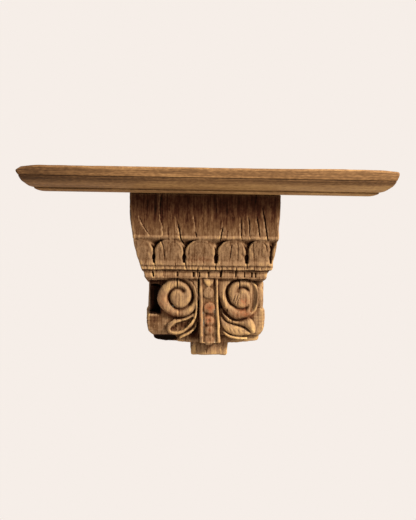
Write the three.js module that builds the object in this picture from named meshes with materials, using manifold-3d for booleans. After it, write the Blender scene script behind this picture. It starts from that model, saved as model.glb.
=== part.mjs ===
// Carved hardwood corbel carrying a moulded shelf board, as it hangs on a wall.
// Millimetres, +Z up, +X to the right seen from the room. The wall is the plane Y = 0 and the room is at -Y.
// The origin is the fixing point: on the flat back of the corbel, on its centre line, fixingDrop below the board.
// "drop" is a distance down from the top of the corbel and "reach" is a distance out from the wall.
import * as THREE from "three";
import { mergeVertices } from "three/addons/utils/BufferGeometryUtils.js";
import Module from "manifold-3d";

const wasm = await Module();
wasm.setup();

// Shelf board, with one moulding round its front and both ends
const boardWidth = 610;
const boardDepth = 226;
const boardThickness = 42;
const boardNoseRadius = 3;
const fasciaHeight = 16;
const quirkWidth = 1.3;
const quirkDepth = 1.2;
const ovoloRun = 31;
const ovoloRoundness = 0.55;
const filletHeight = 5.2;
const filletRun = 12;

// Corbel: overall
const corbelWidth = 244;
const corbelDepth = 170;
const fixingDrop = 120;
const boardGap = 0.3;

// Corbel: the bell under the board, with its row of lotus petals
const bellStraight = 20;
const bellHeight = 114;
const bellSideInset = 14.5;
const bellFrontInset = 20;
const petalTopDrop = 73;
const petalFieldDepth = 9;
const petalSetback = 1.5;
const petalGap = 3;
const petalHeadRise = 0.92;
const petalFootHeight = 5;
const petalFootSlope = 2;
const petalDrillRadius = 3.6;
const petalDrillDepth = 13;
const firstPetalGapX = -84.9;
const frontPetalWidths = [50.3, 52.4, 50.8, 40];
const sidePetalWidth = 46;

// Corbel: the two bands under the petals, the lower one cut into blocks
const upperBandHeight = 11;
const upperBandStep = 3;
const lowerBandHeight = 15.3;
const lowerBandStep = 6;
const bandGrooveHeight = 2.6;
const bandGrooveDepth = 3;
const bandEdgeWear = 3;
const bandUndercut = 12;
const bandUndercutHeight = 4;
const blockGrooveWidth = 1.8;
const blockGrooveDepth = 2.6;
const frontBlockGrooveXs = [-85.8, -45.8, -18.7, -9.4, 6.1, 26.3, 51, 65.8, 78.2];
const sideBlockPitch = 17.5;

// Corbel: the scroll block, the wider corner block under it and the base
const scrollHeight = 59;
const scrollSideInset = 42;
const scrollFrontInset = 46;
const sideScrollSetback = 19;
const cornerBlockHeight = 36.7;
const cornerBlockSideInset = 25.2;
const cornerBlockFrontInset = 40;
const cornerBlockRounding = 9;
const cornerBlockRise = 14.5;
const cornerBlockFrontShare = 0.4;
const baseHeight = 8;
const baseSideInset = 36.5;
const baseFrontInset = 50;
const baseBow = 3;
const baseCornerRounding = 8;

// Corbel: the tongue under the base
const tongueWidth = 62;
const tongueHeight = 25;
const tongueFrontInset = 52;
const tongueRounding = 7;
const tongueCrown = 3;
const tongueOffset = 7;

// The bead column on the front, a little to the right of the middle, and the plainer ones on the sides
const columnOffset = 7;
const columnWidth = 38;
const columnRelief = 18;
const columnFilletWidth = 6;
const columnChannelDepth = 7;
const columnChannelEnd = 3;
const columnFoot = 4;
const firstBeadDrop = 21;
const beadRadii = [8.8, 8.8, 7.8, 7.6, 7.4];
const beadSpacing = 1;
const beadSink = 1;
const budHalfWidth = 9;
const budHeight = 11;
const budRelief = 4;
const ribRadius = 6;
const ribEnd = 4;

// The scrolls. "x" is measured from the centre line of the column beside the scroll.
const leftScroll = { x: 52.7, radius: 33, eyeShiftX: -4.9, eyeShiftZ: 2 };
const rightScroll = { x: 51, radius: 32, eyeShiftX: 5.4, eyeShiftZ: -0.9 };
const sideScroll = { x: 51.5, radius: 32.5, eyeShiftX: -2, eyeShiftZ: 1.2 };
const scrollCentreDrop = 34;
const scrollRelief = 16;
const stemSetback = 1;
const stemTopRun = 12;
const stemFootDrop = 66;
const stemFootRun = 16;
const eyeRadius = 16;
const eyeRim = 0.5;
const eyeDome = 2.5;
const grooveWidth = 4.6;
const grooveFloorShare = 0.6;
const grooveDepth = 9;
const grooveStartDegrees = 80;
const grooveOpeningDegrees = 250;
const grooveSweepDegrees = 395;
const grooveOpeningPower = 1.15;
const grooveOverrun = 2;

// The leaves under the front scrolls: [distance from the column's centre line, drop below the cornice],
// a start point and then three points to each Bezier span
const leafOutline = [[18, 50], [30, 64], [44, 66], [56, 73], [64, 77], [70, 84], [67, 91], [60, 96], [44, 95],
  [34, 84], [28, 78], [23, 70], [18, 62]];
const leafHollowOutline = [[27, 67], [36, 74], [48, 75], [58, 84], [62, 88], [60, 91], [54, 91], [44, 91], [34, 82],
  [27, 67]];
const lowerLeafOutline = [[18, 66], [26, 84], [38, 96], [54, 99], [53, 100], [51, 101], [50, 101.5], [36, 100],
  [26, 92], [18, 80]];
const leafRelief = 14;
const leafHollow = 5;
const lowerLeafRelief = 10.5;

// The dark pocket between the lower leaf and the column
const pocketOutline = [[20.5, 84], [25, 92], [34, 99], [34, 106], [20.5, 106]];
const pocketDepth = 12;

// The break in the right scroll, inside the rim that is left
const chipX = 73;
const chipDepth = 7;
const chipRimWidth = 4.5;

// Curve resolution
const arcSteps = 12;
const discSteps = 24;
const profileSteps = 7;
const smallArcSteps = 4;
const grooveSteps = 40;

// Cutters and roots pass a little through the faces that they open or join.
const overshoot = 1;

const quarterTurn = Math.PI / 2;
const top = fixingDrop - boardGap;
const halfWidth = corbelWidth / 2;
const upperBandDrop = bellHeight + upperBandHeight;
const corniceDrop = upperBandDrop + lowerBandHeight;
const scrollBottomDrop = corniceDrop + scrollHeight;
const cornerBlockBottomDrop = scrollBottomDrop + cornerBlockHeight;
const baseBottomDrop = cornerBlockBottomDrop + baseHeight;
const scrollHalfWidth = halfWidth - scrollSideInset;
const scrollFront = corbelDepth - scrollFrontInset;

// The height of a drop below the cornice.
function below(drop) {
  return top - corniceDrop - drop;
}

// A closed geometry as a solid that can be joined and cut.
function solidOf(geometry) {
  const bare = geometry.index ? geometry.toNonIndexed() : geometry.clone();
  bare.deleteAttribute("normal");
  bare.deleteAttribute("uv");
  const merged = mergeVertices(bare, 1e-4);
  return new wasm.Manifold(
    new wasm.Mesh({
      numProp: 3,
      vertProperties: new Float32Array(merged.attributes.position.array),
      triVerts: new Uint32Array(merged.index.array),
    }),
  );
}

// A solid back as a geometry for a mesh.
function geometryOf(solid) {
  const { vertProperties, triVerts, numProp } = solid.getMesh();
  const positions = new Float32Array((vertProperties.length / numProp) * 3);
  for (let i = 0; i < positions.length / 3; i++) {
    for (let k = 0; k < 3; k++) positions[3 * i + k] = vertProperties[numProp * i + k];
  }
  const geometry = new THREE.BufferGeometry();
  geometry.setAttribute("position", new THREE.BufferAttribute(positions, 3));
  geometry.setIndex(new THREE.BufferAttribute(new Uint32Array(triVerts), 1));
  geometry.computeVertexNormals();
  return geometry;
}

function joined(solids) {
  return solids.reduce((whole, next) => whole.add(next));
}

// A Shape through a list of [x, z] points.
function outline(points) {
  return new THREE.Shape(points.map(([x, z]) => new THREE.Vector2(x, z)));
}

function rectangle(left, right, bottom, up) {
  return outline([[left, bottom], [right, bottom], [right, up], [left, up]]);
}

// A shape drawn in X and Z, pulled out from reach "from" to reach "to".
function frontPrism(shape, from, to, curveSegments = arcSteps) {
  const geometry = new THREE.ExtrudeGeometry(shape, { depth: to - from, bevelEnabled: false, curveSegments });
  return solidOf(geometry.rotateX(quarterTurn).translate(0, -from, 0));
}

// A shape drawn in reach and Z, pulled across from X = -half to X = half.
function sidePrism(shape, half) {
  const settings = { depth: 2 * half, bevelEnabled: false, curveSegments: arcSteps };
  const geometry = new THREE.ExtrudeGeometry(shape, settings);
  return solidOf(geometry.rotateX(quarterTurn).rotateZ(-quarterTurn).translate(half, 0, 0));
}

// Carving drawn for the front, turned to face left (-1) or right (1).
function onSide(solid, side) {
  return solid.rotate([0, 0, side * 90]);
}

// One moulding sawn round the front and both ends, from [half width, reach, z] rows that run down it.
function mouldedBlock(rows) {
  const right = rows.map(([half, , z]) => [half, z]);
  const left = rows.map(([half, , z]) => [-half, z]).reverse();
  const wall = [[0, rows[rows.length - 1][2]], [0, rows[0][2]]];
  const across = Math.max(...rows.map(([half]) => half)) + overshoot;
  const deep = Math.max(...rows.map(([, reach]) => reach)) + overshoot;
  const seenFromSide = sidePrism(outline([...rows.map(([, reach, z]) => [reach, z]), ...wall]), across);
  return frontPrism(outline([...right, ...left]), 0, deep).intersect(seenFromSide);
}

// The moulded edge of the board as [inset, distance below its top], from the top face to the underside.
function boardEdge() {
  const rows = [];
  for (let i = 0; i <= smallArcSteps; i++) {
    const turn = (i / smallArcSteps) * quarterTurn;
    rows.push([boardNoseRadius * (1 - Math.sin(turn)), boardNoseRadius * (1 - Math.cos(turn))]);
  }
  const ovoloTop = fasciaHeight + quirkWidth;
  const filletTop = boardThickness - filletHeight;
  const ovoloBottom = filletTop - quirkWidth;
  rows.push([0, fasciaHeight]);
  rows.push([2 * quirkDepth, fasciaHeight]);
  rows.push([2 * quirkDepth, ovoloTop]);
  for (let i = 0; i <= profileSteps; i++) {
    const share = i / profileSteps;
    const along = ovoloRoundness * (1 - Math.cos(share * quarterTurn)) + (1 - ovoloRoundness) * share;
    const down = ovoloRoundness * Math.sin(share * quarterTurn) + (1 - ovoloRoundness) * share;
    rows.push([quirkDepth + along * ovoloRun, ovoloTop + down * (ovoloBottom - ovoloTop)]);
  }
  const ovoloFoot = quirkDepth + ovoloRun;
  rows.push([ovoloFoot + quirkDepth, ovoloBottom]);
  rows.push([ovoloFoot + quirkDepth, filletTop]);
  rows.push([ovoloFoot, filletTop]);
  for (let i = 1; i <= smallArcSteps; i++) {
    const turn = (i / smallArcSteps) * quarterTurn;
    rows.push([ovoloFoot + filletRun * (1 - Math.cos(turn)), filletTop + filletHeight * Math.sin(turn)]);
  }
  return rows;
}

function shelfBoard() {
  const boardTop = fixingDrop + boardThickness;
  const rows = boardEdge().map(([inset, down]) => [boardWidth / 2 - inset, boardDepth - inset, boardTop - down]);
  return mouldedBlock(rows);
}

// How far the bell has drawn in at a drop, as a share of its whole inset.
function bellShare(drop) {
  return Math.max(0, (drop - bellStraight) / (bellHeight - bellStraight)) ** 2;
}

// Rows of the bell between two drops, "setback" behind its true face.
function bellRows(fromDrop, toDrop, setback) {
  const rows = [];
  for (let i = 0; i <= profileSteps; i++) {
    const drop = fromDrop + ((toDrop - fromDrop) * i) / profileSteps;
    const share = bellShare(drop);
    const half = halfWidth - bellSideInset * share - setback;
    const reach = corbelDepth - bellFrontInset * share - setback;
    rows.push([half, reach, top - drop]);
  }
  return rows;
}

// The bell's plain upper part and the sunk field that the petals stand in.
function bell() {
  const plain = mouldedBlock([[halfWidth, corbelDepth, top], ...bellRows(bellStraight, petalTopDrop, 0)]);
  const field = mouldedBlock(bellRows(petalTopDrop - overshoot, bellHeight + overshoot, petalFieldDepth));
  return plain.add(field);
}

// One lotus petal seen square on: a round head that meets the ridge above, straight sides and a wide foot.
function petalOutline(x, width) {
  const half = (width - petalGap) / 2;
  const foot = top - bellHeight - overshoot;
  const waist = foot + petalFootHeight;
  const headTop = top - petalTopDrop + overshoot / 2;
  const shoulder = headTop - half * petalHeadRise;
  const shape = new THREE.Shape();
  shape.moveTo(x - width / 2, foot);
  shape.lineTo(x + width / 2, foot);
  shape.lineTo(x + width / 2, waist);
  shape.lineTo(x + half, waist + petalFootSlope);
  shape.lineTo(x + half, shoulder);
  shape.absellipse(x, shoulder, half, headTop - shoulder, 0, Math.PI, false);
  shape.lineTo(x - half, waist + petalFootSlope);
  shape.lineTo(x - width / 2, waist);
  return shape;
}

// The drilled hole low down between two petals.
function petalDrill(x) {
  const shape = new THREE.Shape();
  const z = top - bellHeight + petalFootHeight + petalDrillRadius;
  shape.absarc(x, z, petalDrillRadius, 0, 2 * Math.PI, false);
  return shape;
}

// The row of petals, kept to the face of the bell so that they share its curve.
function petals() {
  const face = mouldedBlock(bellRows(petalTopDrop - overshoot, bellHeight + overshoot, petalSetback));
  const frontRoot = corbelDepth - bellFrontInset - petalDrillDepth;
  const sideRoot = halfWidth - bellSideInset - petalDrillDepth;
  const onFront = (shape) => frontPrism(shape, frontRoot, corbelDepth + overshoot);
  const sawn = [];
  const drilled = [];
  let gap = firstPetalGapX;
  for (const width of frontPetalWidths) {
    sawn.push(onFront(petalOutline(gap + width / 2, width)));
    drilled.push(onFront(petalDrill(gap)));
    gap += width;
  }
  // The petal at each corner wraps the arris, so its outline is sawn on both faces.
  const cornerX = halfWidth - bellSideInset / 2;
  const cornerReach = corbelDepth - bellFrontInset / 2;
  for (const [side, lastGap] of [[-1, firstPetalGapX], [1, gap]]) {
    const sidePart = sidePetalWidth - (cornerX - Math.abs(lastGap));
    const firstEdge = cornerReach - sidePart;
    const sawnOnSide = (shape) => onSide(frontPrism(shape, sideRoot, halfWidth + overshoot, profileSteps), side);
    sawn.push(onFront(petalOutline(lastGap + (side * sidePetalWidth) / 2, sidePetalWidth)));
    for (let edge = firstEdge + sidePetalWidth; edge > 0; edge -= sidePetalWidth) {
      sawn.push(sawnOnSide(petalOutline(-side * (edge - sidePetalWidth / 2), sidePetalWidth)));
      if (edge <= firstEdge) drilled.push(sawnOnSide(petalDrill(-side * edge)));
    }
  }
  return face.intersect(joined(sawn)).subtract(joined(drilled));
}

// The two bands under the petals, with a groove between them and the lower band cut into blocks.
function bands() {
  const half = halfWidth - bellSideInset;
  const reach = corbelDepth - bellFrontInset;
  const lower = upperBandStep + lowerBandStep;
  const row = (inset, drop) => [half - inset, reach - inset, top - drop];
  const body = mouldedBlock([
    row(upperBandStep, bellHeight),
    row(upperBandStep, upperBandDrop),
    row(lower + bandGrooveDepth, upperBandDrop),
    row(lower + bandGrooveDepth, upperBandDrop + bandGrooveHeight),
    row(lower, upperBandDrop + bandGrooveHeight),
    row(lower, corniceDrop - bandEdgeWear),
    row(lower + bandEdgeWear, corniceDrop),
    row(lower + bandUndercut, corniceDrop + bandUndercutHeight),
    row(lower + bandUndercut, corniceDrop + bandUndercutHeight + overshoot),
  ]);
  const grooveTop = top - upperBandDrop - bandGrooveHeight;
  const groove = (x, face) => {
    const shape = rectangle(x - blockGrooveWidth / 2, x + blockGrooveWidth / 2, below(-bandEdgeWear), grooveTop);
    return frontPrism(shape, face - blockGrooveDepth, face + overshoot);
  };
  const cuts = frontBlockGrooveXs.map((x) => groove(x, reach - lower));
  for (const side of [-1, 1]) {
    for (let y = reach - lower - sideBlockPitch; y > sideBlockPitch / 2; y -= sideBlockPitch) {
      cuts.push(onSide(groove(-side * y, half - lower), side));
    }
  }
  return body.subtract(joined(cuts));
}

// The block behind the scrolls, the wider corner block with its rounded lower edge, the base and the tongue.
function scrollBlock() {
  const body = mouldedBlock([
    [scrollHalfWidth, scrollFront, top - corniceDrop],
    [scrollHalfWidth, scrollFront, top - scrollBottomDrop - overshoot],
  ]);
  const half = halfWidth - cornerBlockSideInset;
  const reach = corbelDepth - cornerBlockFrontInset;
  const rows = [[half - overshoot, reach, top - scrollBottomDrop]];
  for (let i = 0; i <= profileSteps; i++) {
    const turn = (i / profileSteps) * quarterTurn;
    const inset = cornerBlockRounding * (1 - Math.cos(turn));
    const drop = cornerBlockBottomDrop - cornerBlockRise * (1 - Math.sin(turn));
    rows.push([half - inset, reach - inset * cornerBlockFrontShare, top - drop]);
  }
  return joined([body, mouldedBlock(rows), base(), tongue()]);
}

// The base, whose lower edge dips towards the tongue.
function base() {
  const half = halfWidth - baseSideInset;
  const up = top - cornerBlockBottomDrop + overshoot;
  const bottom = top - baseBottomDrop;
  const side = bottom + baseBow;
  const corner = side + baseBow / 2;
  const shape = new THREE.Shape();
  shape.moveTo(-half, up);
  shape.lineTo(-half, corner);
  shape.quadraticCurveTo(-half, side, -half + baseCornerRounding, side);
  shape.quadraticCurveTo(0, bottom - baseBow, half - baseCornerRounding, side);
  shape.quadraticCurveTo(half, side, half, corner);
  shape.lineTo(half, up);
  return frontPrism(shape, 0, corbelDepth - baseFrontInset, profileSteps);
}

function tongue() {
  const half = tongueWidth / 2;
  const reach = corbelDepth - tongueFrontInset;
  const plan = new THREE.Shape();
  plan.moveTo(-half, 0);
  plan.lineTo(-half, -reach + tongueRounding);
  plan.quadraticCurveTo(-half, -reach, -half + tongueRounding, -reach);
  plan.quadraticCurveTo(0, -reach - tongueCrown, half - tongueRounding, -reach);
  plan.quadraticCurveTo(half, -reach, half, -reach + tongueRounding);
  plan.lineTo(half, 0);
  const settings = { depth: tongueHeight + baseHeight, bevelEnabled: false, curveSegments: profileSteps };
  const geometry = new THREE.ExtrudeGeometry(plan, settings);
  return solidOf(geometry.translate(tongueOffset, 0, top - baseBottomDrop - tongueHeight));
}

// The spiral groove of a scroll: from above the eye round its outer side and under it, then out over the top.
class ScrollGroove extends THREE.Curve {
  constructor(eyeX, eyeZ, side, scrollRadius) {
    super();
    Object.assign(this, { eyeX, eyeZ, side, scrollRadius });
  }

  getPoint(t, target = new THREE.Vector3()) {
    const swept = grooveSweepDegrees * t;
    const opening = Math.max(0, swept - grooveOpeningDegrees) / (grooveSweepDegrees - grooveOpeningDegrees);
    const whole = this.scrollRadius - eyeRadius + grooveOverrun;
    const radius = eyeRadius + grooveWidth / 2 + whole * opening ** grooveOpeningPower;
    const turn = THREE.MathUtils.degToRad(grooveStartDegrees + swept);
    // The turn is measured from the column's side of the eye, over the top.
    return target.set(this.eyeX - this.side * radius * Math.cos(turn), this.eyeZ + radius * Math.sin(turn), 0);
  }
}

// A groove of tapering section swept along a path that lies in the face at a reach.
function grooveAlong(path, reach) {
  const lip = grooveWidth / 2;
  const floor = lip * grooveFloorShare;
  const section = outline([[-overshoot, -lip], [grooveDepth, -floor], [grooveDepth, floor], [-overshoot, lip]]);
  const swept = new THREE.ExtrudeGeometry(section, { steps: grooveSteps, extrudePath: path, bevelEnabled: false });
  return solidOf(swept.rotateX(quarterTurn).translate(0, -reach, 0));
}

// A prism of an outline given from the column's centre line, to its left (-1) or its right (1).
function sidedPrism(points, columnX, side, from, to) {
  const placed = points.map(([x, drop]) => [columnX + side * x, below(drop)]);
  return frontPrism(outline(side < 0 ? placed.reverse() : placed), from, to);
}

// The points of an outline made of Bezier spans.
function bezierPoints(controls) {
  const path = new THREE.Path();
  path.moveTo(...controls[0]);
  for (let i = 1; i + 2 < controls.length; i += 3) {
    path.bezierCurveTo(...controls[i], ...controls[i + 1], ...controls[i + 2]);
  }
  return path.getPoints(profileSteps).map(({ x, y }) => [x, y]);
}

// One scroll with the stem that rises into it beside the column.
function scroll(columnX, side, face, { x, radius, eyeShiftX, eyeShiftZ }) {
  const centreX = columnX + side * x;
  const centreZ = below(scrollCentreDrop);
  const eyeX = columnX + side * (x + eyeShiftX);
  const eyeZ = centreZ - eyeShiftZ;
  const front = face + scrollRelief;
  const columnEdge = columnWidth / 2 - overshoot;
  const disc = new THREE.Shape();
  disc.absarc(centreX, centreZ, radius, 0, 2 * Math.PI, false);
  const stemPath = new THREE.Path();
  stemPath.moveTo(columnEdge, 0);
  stemPath.lineTo(x - stemTopRun, 0);
  stemPath.lineTo(x, scrollCentreDrop);
  stemPath.quadraticCurveTo(columnEdge + stemFootRun, stemFootDrop, columnEdge, stemFootDrop);
  const stemPoints = stemPath.getPoints(profileSteps).map((point) => [point.x, point.y]);
  const stem = sidedPrism(stemPoints, columnX, side, face - overshoot, front - stemSetback);
  const platform = frontPrism(disc, face - overshoot, front, discSteps).add(stem);
  const groove = grooveAlong(new ScrollGroove(eyeX, eyeZ, side, radius), front);
  return platform.subtract(groove).add(eye(eyeX, eyeZ, front));
}

// The low dome on the eye of a scroll.
function eye(x, z, reach) {
  const radius = eyeRadius - eyeRim;
  const profile = [new THREE.Vector2(0, -overshoot), new THREE.Vector2(radius, -overshoot)];
  for (let i = 0; i < smallArcSteps; i++) {
    const turn = (i / smallArcSteps) * quarterTurn;
    profile.push(new THREE.Vector2(radius * Math.cos(turn), -eyeRim + eyeDome * Math.sin(turn)));
  }
  profile.push(new THREE.Vector2(0, eyeDome - eyeRim));
  return solidOf(new THREE.LatheGeometry(profile, discSteps).rotateX(Math.PI).translate(x, -reach, z));
}

// The hollowed leaf under a scroll, with the narrower leaf below it.
function leaf(columnX, side, face) {
  const back = face - overshoot;
  const front = face + leafRelief;
  const body = sidedPrism(bezierPoints(leafOutline), columnX, side, back, front);
  const hollow = sidedPrism(bezierPoints(leafHollowOutline), columnX, side, front - leafHollow, front + overshoot);
  const lower = sidedPrism(bezierPoints(lowerLeafOutline), columnX, side, back, face + lowerLeafRelief);
  return body.subtract(hollow).add(lower);
}

// The upright between a pair of scrolls: two fillets with a sunk channel that "fill" stands in.
function column(x, face, foot, fill) {
  const half = columnWidth / 2;
  const channelHalf = half - columnFilletWidth;
  const front = face + columnRelief;
  const floor = front - columnChannelDepth;
  const body = frontPrism(rectangle(x - half, x + half, below(foot), below(0)), face - overshoot, front);
  const channelEnd = below(foot - columnChannelEnd);
  const channel = rectangle(x - channelHalf, x + channelHalf, channelEnd, below(columnChannelEnd));
  return body.subtract(frontPrism(channel, floor, front + overshoot)).add(fill(x, foot, floor));
}

// A bud under the cornice and the string of beads below it.
function beadString(x, foot, floor) {
  const bud = new THREE.Shape();
  const waist = below(budHeight - budRelief);
  bud.moveTo(x - budHalfWidth, below(overshoot));
  bud.quadraticCurveTo(x - budHalfWidth, waist, x, below(budHeight));
  bud.quadraticCurveTo(x + budHalfWidth, waist, x + budHalfWidth, below(overshoot));
  const solids = [frontPrism(bud, floor - overshoot, floor + budRelief, profileSteps)];
  let drop = firstBeadDrop;
  beadRadii.forEach((radius, i) => {
    if (i > 0) drop += beadRadii[i - 1] + radius + beadSpacing;
    const bead = new THREE.SphereGeometry(radius, arcSteps, profileSteps);
    solids.push(solidOf(bead.rotateX(quarterTurn).translate(x, -floor - beadSink, below(drop))));
  });
  return joined(solids);
}

// A plain half-round rib.
function rib(x, foot, floor) {
  const length = foot - 2 * ribEnd;
  const round = new THREE.CylinderGeometry(ribRadius, ribRadius, length, arcSteps);
  return solidOf(round.rotateX(quarterTurn).translate(x, -floor, below(foot / 2)));
}

// The broken part of the right scroll, which has split off along the grain inside the rim.
function chip() {
  const centreX = columnOffset + rightScroll.x;
  const centreZ = below(scrollCentreDrop);
  const front = scrollFront + scrollRelief;
  const disc = new THREE.Shape();
  disc.absarc(centreX, centreZ, rightScroll.radius - chipRimWidth, 0, 2 * Math.PI, false);
  const { radius } = rightScroll;
  const beyond = rectangle(chipX, chipX + radius, centreZ - radius, centreZ + radius);
  const sheared = frontPrism(disc, front - chipDepth, front + eyeDome + overshoot, discSteps);
  return sheared.intersect(frontPrism(beyond, front - chipDepth - overshoot, front + 2 * eyeDome));
}

// The carving on the front of the scroll block.
function frontCarving() {
  return joined([
    column(columnOffset, scrollFront, baseBottomDrop - corniceDrop + columnFoot, beadString),
    scroll(columnOffset, -1, scrollFront, leftScroll),
    scroll(columnOffset, 1, scrollFront, rightScroll).subtract(chip()),
    leaf(columnOffset, -1, scrollFront),
    leaf(columnOffset, 1, scrollFront),
  ]);
}

// The plainer carving on a side: one scroll towards the room, standing back from the corner, and an upright.
function sideCarving(side) {
  const reach = scrollFront - sideScrollSetback - sideScroll.x - sideScroll.radius;
  const x = -side * reach;
  const upright = column(x, scrollHalfWidth, cornerBlockBottomDrop - corniceDrop, rib);
  return onSide(upright.add(scroll(x, -side, scrollHalfWidth, sideScroll)), side);
}

function pockets() {
  const reach = corbelDepth - cornerBlockFrontInset;
  const pocket = (side) => sidedPrism(pocketOutline, columnOffset, side, reach - pocketDepth, corbelDepth);
  return pocket(-1).add(pocket(1));
}

// The part of a solid that lies in front of the wall.
function inFrontOfWall(solid) {
  const size = 2 * (corbelWidth + corbelDepth);
  return solid.intersect(solidOf(new THREE.BoxGeometry(size, size, size).translate(0, -size / 2, 0)));
}

function corbel() {
  const carved = [frontCarving(), sideCarving(-1), sideCarving(1)];
  const whole = joined([bell(), petals(), bands(), scrollBlock(), ...carved]);
  return inFrontOfWall(whole.subtract(pockets()));
}

const boardTimber = new THREE.MeshStandardMaterial({ color: 0x8f6a42, roughness: 0.6, metalness: 0 });
const carvedTimber = new THREE.MeshStandardMaterial({ color: 0x7a5534, roughness: 0.72, metalness: 0 });

function piece(name, solid, material) {
  const mesh = new THREE.Mesh(geometryOf(solid), material);
  mesh.name = name;
  return mesh;
}

const wallCorbel = new THREE.Group();
wallCorbel.add(piece("shelf_board", shelfBoard(), boardTimber));
wallCorbel.add(piece("carved_corbel", corbel(), carvedTimber));

export default wallCorbel;
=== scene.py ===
"""Looks of the corbel wall shelf: an old carved teak corbel under a moulded, waxed shelf board.

The corbel is worked the way the carver worked it. It starts as a block of timber, held as signed distances
on a regular grid, and is sawn to its outlines, carved, cut with gouges, rubbed by wear and opened by drying
cracks. The board is a moulding run round its front and both ends. Sizes are in millimetres until
a mesh is made.

A place on the corbel is given by "across" (X, to the right), "reach" (out from the wall) and "drop" (down
from the board's underside).
"""

import logging
import math
from dataclasses import dataclass, field
from enum import Enum
from typing import Any, Sequence

import bmesh
import bpy
import numpy as np
import openvdb as vdb
from mathutils import Matrix, Vector

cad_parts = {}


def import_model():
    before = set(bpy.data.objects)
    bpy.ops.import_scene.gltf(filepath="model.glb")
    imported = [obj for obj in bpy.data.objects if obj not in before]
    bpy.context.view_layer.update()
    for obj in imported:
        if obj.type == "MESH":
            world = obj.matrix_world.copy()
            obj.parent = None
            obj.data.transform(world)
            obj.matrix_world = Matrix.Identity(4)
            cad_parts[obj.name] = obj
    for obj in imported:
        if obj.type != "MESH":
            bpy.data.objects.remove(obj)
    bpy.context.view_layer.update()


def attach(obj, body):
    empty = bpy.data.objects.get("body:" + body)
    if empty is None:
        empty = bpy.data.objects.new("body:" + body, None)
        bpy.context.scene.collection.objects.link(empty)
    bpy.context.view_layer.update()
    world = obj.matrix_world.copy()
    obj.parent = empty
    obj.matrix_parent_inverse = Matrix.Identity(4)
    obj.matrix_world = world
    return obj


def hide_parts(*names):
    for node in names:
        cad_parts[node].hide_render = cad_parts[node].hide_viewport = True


log = logging.getLogger("corbel_shelf")

MM = 0.001
BODY = "root"
UNDERSIDE = 120.0  # height of the board's underside above the origin
CARVING_STEP = 1.0  # cell size of the timber's grid

Point = tuple[float, float]
Spot = tuple[Point, Point, float]  # middle, radii and strength
Array = np.ndarray


# Small tools


def srgb(code: str) -> tuple[float, float, float, float]:
    """Turns an sRGB hex colour into the linear colour that a shader takes.

    Args:
        code: The colour as six hex digits.

    Returns:
        Linear red, green and blue, and an alpha of one.
    """
    parts = [int(code[i : i + 2], 16) / 255 for i in (0, 2, 4)]
    linear = [c / 12.92 if c <= 0.04045 else ((c + 0.055) / 1.055) ** 2.4 for c in parts]
    return (*linear, 1.0)


def add_node(tree: Any, kind: str, inputs: dict[Any, Any] | None = None, **settings: Any) -> Any:
    """Adds a node with its settings and links.

    Args:
        tree: The node tree to add to.
        kind: The node's type name.
        inputs: For each input's name or number, a value or the output socket to link from.
        **settings: Attributes of the node itself.

    Returns:
        The new node.
    """
    node = tree.nodes.new(kind)
    for name, value in settings.items():
        setattr(node, name, value)
    for key, value in (inputs or {}).items():
        if isinstance(value, bpy.types.NodeSocket):
            tree.links.new(value, node.inputs[key])
        else:
            node.inputs[key].default_value = value
    return node


def smooth_max(a: Array, b: Array, blend: float) -> Array:
    """The greater of two fields, with the crease between them rounded over "blend" millimetres."""
    if blend <= 0:
        return np.maximum(a, b)
    return np.maximum(a, b) + np.maximum(blend - np.abs(a - b), 0) ** 2 / (4 * blend)


def smooth_min(a: Array, b: Array, blend: float) -> Array:
    """The lesser of two fields, with the crease between them rounded over "blend" millimetres."""
    return -smooth_max(-a, -b, blend)


def rounded(points: Sequence[Point], closed: bool = True, steps: int = 5) -> list[Point]:
    """Runs a smooth curve through points.

    Args:
        points: The points to pass through.
        closed: Whether the curve returns to its start.
        steps: Pieces between neighbouring points.

    Returns:
        Points along a Catmull-Rom curve.
    """
    ring = np.array(points, float)
    count = len(ring)
    spans = count if closed else count - 1
    out: list[Point] = []
    for i in range(spans):
        if closed:
            p = [ring[(i + k - 1) % count] for k in range(4)]
        else:
            p = [ring[min(max(i + k - 1, 0), count - 1)] for k in range(4)]
        for j in range(steps):
            t = j / steps
            value = 0.5 * (
                2 * p[1]
                + (p[2] - p[0]) * t
                + (2 * p[0] - 5 * p[1] + 4 * p[2] - p[3]) * t * t
                + (3 * p[1] - p[0] - 3 * p[2] + p[3]) * t**3
            )
            out.append((float(value[0]), float(value[1])))
    if not closed:
        out.append((float(ring[-1][0]), float(ring[-1][1])))
    return out


def path_distance(points: Sequence[Point], a: Array, b: Array) -> tuple[Array, Array]:
    """Measures the distance from every cell of a plane to an open path.

    Args:
        points: The path.
        a: First coordinate of the cells.
        b: Second coordinate of the cells.

    Returns:
        The distance, and how far along the path its nearest point lies, from 0 to 1.
    """
    a, b = np.broadcast_arrays(a, b)
    best = np.full(a.shape, 1e9, np.float32)
    share = np.zeros(a.shape, np.float32)
    spans = len(points) - 1
    for i in range(spans):
        (x0, y0), (x1, y1) = points[i], points[i + 1]
        dx, dy = x1 - x0, y1 - y0
        u = np.clip(((a - x0) * dx + (b - y0) * dy) / max(dx * dx + dy * dy, 1e-9), 0, 1)
        squared = (a - x0 - u * dx) ** 2 + (b - y0 - u * dy) ** 2
        nearer = squared < best
        best = np.where(nearer, squared, best)
        share = np.where(nearer, (i + u) / spans, share)
    return np.sqrt(best), share


def outline_distance(points: Sequence[Point], a: Array, b: Array) -> Array:
    """Measures the distance from every cell of a plane to a closed outline, negative inside it."""
    a, b = np.broadcast_arrays(a, b)
    ring = [*points, points[0]]
    distance, _ = path_distance(ring, a, b)
    inside = np.zeros(a.shape, bool)
    for (x0, y0), (x1, y1) in zip(ring, ring[1:]):
        if y0 != y1:
            inside ^= ((y0 > b) != (y1 > b)) & (a < x0 + (b - y0) * (x1 - x0) / (y1 - y0))
    return np.where(inside, -distance, distance)


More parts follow.
